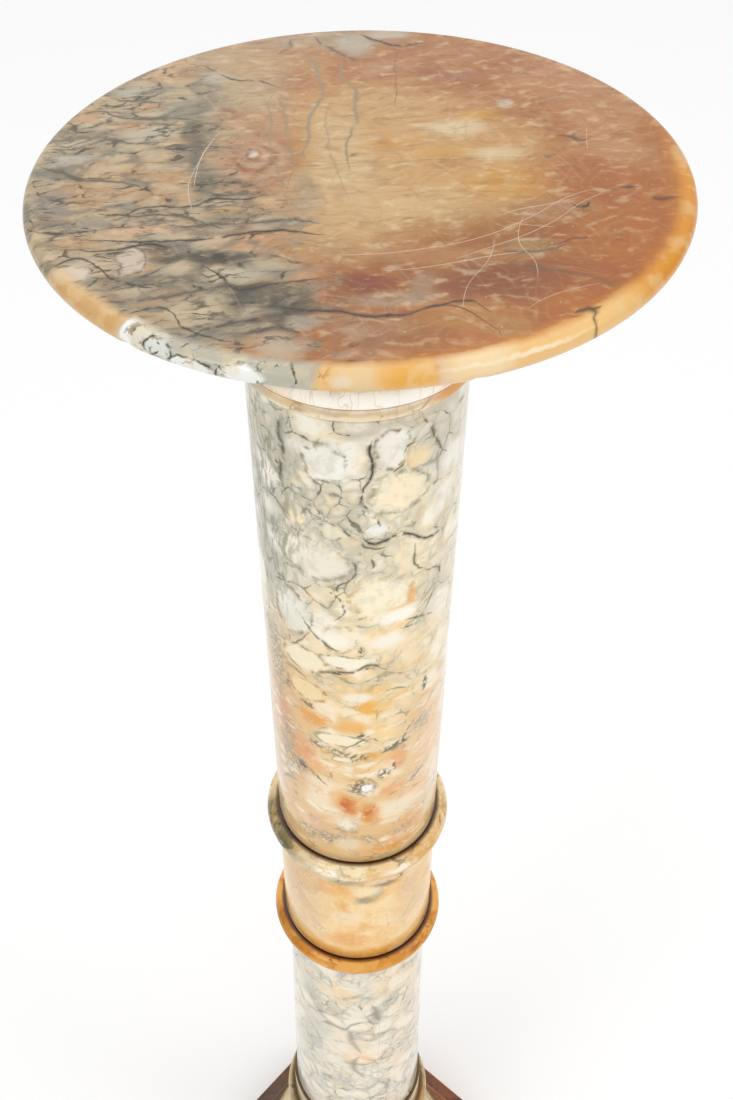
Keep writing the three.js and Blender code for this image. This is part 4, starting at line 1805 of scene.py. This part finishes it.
@dataclass
class BaseMoulding(Stone):
    """The turned base stone: a lip, a bell, and a fillet, a bead and a band at its neck."""

    node: str = "base_moulding"
    slot: str = "tan_marble"
    sides: int = 300
    band_width: float = 107.0
    band_height: float = 28.0
    bead_width: float = 120.4
    bead_height: float = 18.0
    fillet_width: float = 112.0
    fillet_height: float = 6.0
    neck_width: float = 104.0
    lip_height: float = 10.0
    quirk: float = 1.0
    look: CloudedMarble = None

    def outline(self) -> Outline:
        """The members from the lip up."""
        lip = self.width / 2
        upper = self.fillet_height + self.bead_height + self.band_height
        bell = self.rise - self.lip_height - upper
        return (
            Outline()
            .band(lip, self.lip_height)
            .sweep(lip - self.quirk, self.neck_width / 2, bell)
            .band(self.fillet_width / 2, self.fillet_height)
            .bead(self.fillet_width / 2 - self.quirk, self.bead_width / 2, self.bead_height)
            .band(self.band_width / 2, self.band_height)
            .close()
        )

    def finish(self) -> bpy.types.Material:
        """The base's clouded marble."""
        return self.look.material(self.foot + self.rise / 2)


@dataclass
class Plinth(Stone):
    """The octagonal block: a slab with a smaller step on it, both with rounded upper edges."""

    node: str = "plinth"
    slot: str = "brown_marble"
    sides: int = 8
    start: float = 22.5
    arris: float = 3.0
    slab_height: float = 34.0
    step_flats: float = 180.0
    corner_ease: float = 1.2
    cuts: int = 40
    look: CloudedMarble = None

    def outline(self) -> Outline:
        """The section through a corner."""
        corner = 1 / math.cos(math.pi / self.sides)
        slab = self.width / 2
        step = self.step_flats / 2
        return (
            Outline()
            .band(slab * corner, self.slab_height)
            .band(step * corner, self.rise - self.slab_height)
            .close()
        )

    def shape(self, mesh: bmesh.types.BMesh) -> None:
        """Eases the upright corners and cuts the long faces up, so that the edges can wear.

        Args:
            mesh: the turned eight-sided mesh.
        """
        upright = [
            edge
            for edge in mesh.edges
            if len(edge.link_faces) == 2
            and abs(edge.verts[0].co.z - edge.verts[1].co.z) > 4 * MM
            and edge.calc_face_angle(0) > math.radians(30)
        ]
        bmesh.ops.bevel(
            mesh,
            geom=upright,
            offset=self.corner_ease * MM,
            offset_type="OFFSET",
            affect="EDGES",
            segments=3,
            profile=0.5,
            material=-1,
            clamp_overlap=True,
        )
        least = 30 * MM
        level = [
            edge
            for edge in mesh.edges
            if abs(edge.verts[0].co.z - edge.verts[1].co.z) < 0.01 * MM and edge.calc_length() > least
            and abs(edge.verts[0].co.xy.length - edge.verts[1].co.xy.length) < 3 * MM
        ]
        bmesh.ops.subdivide_edges(mesh, edges=level, cuts=self.cuts, use_grid_fill=True)

    def finish(self) -> bpy.types.Material:
        """The plinth's clouded marble."""
        return self.look.material(self.foot + self.rise / 2)


UPPER_RING_MARBLE = CloudedMarble(
    name="polished_olive_marble",
    ground="#e6c58c",
    light="#f8e8c2",
    deep="#d5a561",
    vein="#5f5843",
    cloud=12.0,
    lump=11.0,
    thick=1.1,
    stretch=(1.6, 1.6, 1.0),
    patches=(
        wall_patch("#6f6a50", -165, 612, 20, 14, 0.85),
        wall_patch("#5b5641", -146, 610, 9, 12, 0.8),
        wall_patch("#8d8260", -128, 612, 10, 12, 0.6),
        wall_patch("#efdfbd", -108, 614, 14, 7, 0.8),
        wall_patch("#e8bf8a", -72, 612, 14, 10, 0.7),
        wall_patch("#d9a050", -35, 612, 26, 14, 0.75),
        wall_patch("#e2b98c", -88, 601, 40, 3, 0.6),
        # Painted highlights: two pale spots on the bead, standing in for reflections of the lights.
        wall_patch("#fffaf0", -112, 615, 7, 2.0, 0.9, 0.6),
        wall_patch("#fff3e2", -66, 615, 10, 2.0, 0.8, 0.6),
        wall_patch("#a09c86", -104, 601, 10, 3, 0.7, 0.6),
    ),
    grime_and_shade=((620.0, 0.6, 1.0), (606.0, 0.9, 0.6), (598.0, 0.8, 0.7)),
)

DRUM_MARBLE = CloudedMarble(
    name="polished_peach_marble",
    ground="#efc583",
    light="#f8dcaa",
    deep="#e3a75f",
    vein="#a38a63",
    cloud=22.0,
    lump=26.0,
    thick=0.8,
    veined=0.3,
    wispy=0.2,
    patches=(
        wall_patch("#ecb06a", -113, 588, 12, 8, 0.7),
        wall_patch("#8d8a7c", -88, 575, 7, 4, 0.8, 0.7),
        wall_patch("#86867c", -73, 592, 7, 3.5, 0.85, 0.7),
        wall_patch("#a5a190", -79, 582, 4, 5, 0.7, 0.7),
        wall_patch("#f8e6c0", -87, 586, 9, 5, 0.8, 0.6),
        wall_patch("#d8b88f", -140, 560, 20, 46, 0.8, 0.6),
        wall_patch("#dcb8a0", -52, 574, 8, 14, 0.6, 0.6),
        wall_patch("#f9e2c0", -100, 553, 12, 8, 0.7),
        wall_patch("#e59c50", -100, 525, 12, 9, 0.6),
        wall_patch("#d9b38a", -50, 548, 16, 14, 0.5),
        wall_patch("#d6ad80", -148, 566, 20, 24, 0.5),
        wall_patch("#d6903c", -90, 504, 70, 7, 0.7),
    ),
    # Darker at both joints: dirt and painted shade; the wide faint band at the foot is painted shade and
    # reflection of the ring below.
    grime_and_shade=((598.0, 1.4, 0.5), (500.0, 1.8, 0.95), (500.0, 8.0, 0.3)),
)

LOWER_RING_MARBLE = CloudedMarble(
    name="polished_amber_marble",
    ground="#d48f3e",
    light="#efb76a",
    deep="#b06f24",
    vein="#5a3410",
    cloud=14.0,
    lump=15.0,
    thick=0.8,
    stretch=(1.8, 1.8, 1.0),
    veined=0.5,
    patches=(wall_patch("#d99c4a", -96, 494, 24, 6, 0.6), wall_patch("#8f5418", -160, 492, 22, 12, 0.5)),
    grime_and_shade=((500.0, 0.6, 1.0), (488.4, 0.9, 0.7), (483.0, 0.9, 0.8)),
)

LOWER_SHAFT_MARBLE = CloudedMarble(
    name="polished_pale_marble",
    crushed=True,
    ground="#eae2d0",
    light="#f3ead6",
    deep="#ecd3ad",
    vein="#97937f",
    cloud=24.0,
    lump=19.0,
    thick=2.0,
    veined=0.55,
    patches=(
        wall_patch("#9d9c8f", -137, 415, 7, 18, 0.8, 0.7),
        wall_patch("#b9b8ac", -128, 378, 12, 14, 0.6, 0.7),
        wall_patch("#b0af9f", -140, 340, 6, 8, 0.6, 0.7),
        wall_patch("#f2cf9f", -106, 440, 12, 14, 0.8, 0.7),
        wall_patch("#f3cf9e", -118, 410, 8, 12, 0.7, 0.7),
        wall_patch("#f3c394", -84, 342, 14, 11, 0.8, 0.7),
        wall_patch("#f1d8b2", -90, 375, 16, 18, 0.6, 0.7),
        wall_patch("#f3d3a2", -60, 450, 20, 18, 0.6, 0.7),
        wall_patch("#f4dcb8", -60, 320, 12, 16, 0.6, 0.7),
        wall_patch("#f2ebdc", -98, 455, 10, 9, 0.8, 0.6),
        wall_patch("#a9a18c", -76, 408, 5, 12, 0.7, 0.7),
        wall_patch("#a4a493", -68, 420, 5, 6, 0.8, 0.7),
        wall_patch("#9d9d8d", -66, 370, 6, 10, 0.7, 0.7),
        wall_patch("#f0d2b0", -42, 360, 16, 90, 0.6, 0.7),
        wall_patch("#c2beae", -142, 350, 14, 140, 0.6, 0.7),
    ),
    veins=(
        Vein(
            "#83806f",
            ((-34, 385, 0), (-26, 390, 3.5), (-14, 388, 2.0), (-8, 396, 2.6), (4, 402, 0)),
            Run.ACROSS,
            0.7,
        ),
        Vein("#8a8775", ((426, 8, 0), (418, 10, 3.0), (406, 12, 3.4), (396, 14, 0)), Run.UP, 0.7),
        Vein("#8a8673", ((388, -10, 0), (376, -9, 3.5), (364, -6, 3.0), (350, 0, 0)), Run.UP, 0.55),
        Vein(
            "#8f8b79",
            ((346, -2, 0), (334, -6, 3.0), (324, -6, 3.0), (316, -2, 2.0), (306, 4, 0)),
            Run.UP,
            0.7,
        ),
        Vein("#8f8b79", ((300, 12, 0), (290, 19, 3.4), (280, 22, 2.4), (268, 22, 0)), Run.UP, 0.7),
        Vein("#a29e8d", ((300, -50, 0), (290, -46, 2.4), (276, -44, 0)), Run.UP, 0.6),
    ),
    # Darker under the ring and at the foot: dirt in the joints and painted shade; the wide faint band under
    # the ring is painted shade.
    grime_and_shade=((483.0, 3.0, 0.6), (483.0, 12.0, 0.25), (226.0, 2.0, 0.7)),
)

BASE_MARBLE = CloudedMarble(
    name="polished_tan_marble",
    ground="#b4965f",
    light="#d3bd8f",
    deep="#8f7142",
    vein="#6a5836",
    cloud=18.0,
    lump=16.0,
    thick=1.0,
    stretch=(1.7, 1.7, 1.0),
    patches=(
        wall_patch("#7f7453", -160, 205, 24, 24, 0.6),
        wall_patch("#bd8a4a", -35, 205, 30, 24, 0.6),
        wall_patch("#cdb48a", -95, 218, 24, 9, 0.6),
    ),
    grime_and_shade=((226.0, 1.6, 0.8), (198.0, 1.2, 0.8), (180.0, 1.2, 0.6), (61.0, 1.4, 0.7), (51.0, 2.0, 0.8)),
)

PLINTH_MARBLE = CloudedMarble(
    name="polished_brown_marble",
    ground="#87603a",
    light="#a9774a",
    deep="#6d5238",
    vein="#4c2c18",
    cloud=26.0,
    lump=24.0,
    thick=1.0,
    stretch=(2.0, 2.0, 1.0),
    patches=(
        wall_patch("#6b6047", -175, 30, 46, 60, 0.7),
        wall_patch("#c0733a", 5, 30, 60, 60, 0.75),
    ),
    # Darker at the step, under the base and along the floor: dirt and painted shade.
    grime_and_shade=((34.0, 1.6, 0.6), (51.0, 0.6, 0.5), (0.0, 5.0, 0.5)),
    gloss=(0.16, 0.32),
)


# Studio


@dataclass
class Studio:
    """A pale floor, soft light, and the camera of the photo, whose place was worked out from the outlines."""

    camera_turn: float = -4.08
    camera_back: float = 514.46
    camera_above_top: float = 287.56
    pitch: float = 0.7817
    yaw: float = -0.0547
    roll: float = -0.0389
    lens: float = 44.28
    shift: float = 0.0564
    top_height: float = 1070.0
    floor_half: float = 9.0
    sky: float = 1.05
    dark_sides: float = 0.4
    softboxes: tuple[tuple[tuple[float, float, float], tuple[float, float], float], ...] = (
        ((-1.5, -1.3, 2.5), (1.1, 1.1), 9.0),
        ((1.7, -0.8, 2.3), (0.9, 1.3), 7.0),
        ((0.0, 1.8, 3.0), (1.6, 1.0), 3.0),
    )

    def build(self) -> None:
        """Sets up the floor, the sky, the lights and the camera."""
        self.floor()
        self.light()
        self.camera()
        bpy.context.scene.view_settings.view_transform = "Standard"
        LOG.info("studio: floor, %d softboxes and camera", len(self.softboxes))

    def floor(self) -> None:
        """Lays a plain pale floor."""
        mesh = bmesh.new()
        bmesh.ops.create_grid(mesh, x_segments=1, y_segments=1, size=self.floor_half)
        data = bpy.data.meshes.new("floor")
        mesh.to_mesh(data)
        mesh.free()
        floor = bpy.data.objects.new("floor", data)
        bpy.context.scene.collection.objects.link(floor)
        paper = bpy.data.materials.new("white_paper_sweep")
        paper.use_nodes = True
        shader = next(node for node in paper.node_tree.nodes if node.type == "BSDF_PRINCIPLED")
        shader.inputs["Base Color"].default_value = linear("#fbfbfb")
        shader.inputs["Roughness"].default_value = 0.9
        shader.inputs["Specular IOR Level"].default_value = 0.1
        data.materials.append(paper)

    def light(self) -> None:
        """Hangs an even white sky and softboxes, all aimed at the upper shaft."""
        world = bpy.data.worlds.new("white_studio")
        world.use_nodes = True
        tree = world.node_tree
        sky = next(node for node in tree.nodes if node.type == "BACKGROUND")
        sky.inputs["Color"].default_value = (1.0, 1.0, 1.0, 1.0)
        # The room's two sides are darker near the floor, which models the round shaft
        way = add_node(tree, "SeparateXYZ", {0: add_node(tree, "TexCoord", {}, "Generated")})
        aside = add_node(tree, "Math", {0: way}, operation="ABSOLUTE")
        low = add_node(tree, "Math", {0: 1.0, 1: way.node.outputs[2]}, operation="SUBTRACT")
        dim = add_node(tree, "Math", {0: aside, 1: low}, operation="MULTIPLY")
        feeds = {"Value": dim, "To Min": self.sky, "To Max": self.sky * self.dark_sides}
        tree.links.new(add_node(tree, "MapRange", feeds), sky.inputs["Strength"])
        bpy.context.scene.world = world
        aim = Vector((0, 0, 0.8))
        for index, (place, size, power) in enumerate(self.softboxes):
            data = bpy.data.lights.new(f"softbox_{index}", "AREA")
            data.shape = "RECTANGLE"
            data.size, data.size_y = size
            data.energy = power
            lamp = bpy.data.objects.new(data.name, data)
            bpy.context.scene.collection.objects.link(lamp)
            lamp.location = place
            lamp.rotation_euler = (aim - Vector(place)).to_track_quat("-Z", "Y").to_euler()

    def camera(self) -> None:
        """Puts the camera where the photo was taken from."""
        data = bpy.data.cameras.new("camera")
        data.lens = self.lens
        data.shift_x = self.shift
        data.clip_start, data.clip_end = 0.02, 50.0
        sin, cos = math.sin, math.cos
        ahead = Vector((sin(self.yaw) * cos(self.pitch), cos(self.yaw) * cos(self.pitch), -sin(self.pitch)))
        right = Vector((cos(self.yaw), -sin(self.yaw), 0))
        above = right.cross(ahead)
        across = right * cos(self.roll) + above * sin(self.roll)
        upward = above * cos(self.roll) - right * sin(self.roll)
        axes = Matrix((across, upward, -ahead)).transposed().to_4x4()
        place = Vector((0, -self.camera_back, self.top_height + self.camera_above_top)) * MM
        turn = Matrix.Rotation(math.radians(self.camera_turn), 4, "Z")
        camera = bpy.data.objects.new("camera", data)
        bpy.context.scene.collection.objects.link(camera)
        camera.matrix_world = turn @ Matrix.Translation(place) @ axes
        bpy.context.scene.camera = camera


def main() -> None:
    """Builds the studio and the stones in order."""
    logging.basicConfig(level=logging.INFO, format="%(message)s")
    Studio().build()
    stones = (
        Plinth(look=PLINTH_MARBLE),
        BaseMoulding(look=BASE_MARBLE),
        Drum("lower_shaft", "pale_marble", head_width=96.2, foot_width=102.6, look=LOWER_SHAFT_MARBLE),
        Ring(
            "lower_ring",
            "amber_marble",
            fillet_width=108.0,
            fillet_height=5.4,
            shaft_width=102.4,
            look=LOWER_RING_MARBLE,
        ),
        Drum("middle_drum", "peach_marble", look=DRUM_MARBLE),
        Ring("upper_ring", "olive_marble", look=UPPER_RING_MARBLE),
        UpperShaft(),
        Capital(),
        TopSlab(),
    )
    for stone in stones:
        stone.build()


if __name__ == "__main__":
    main()
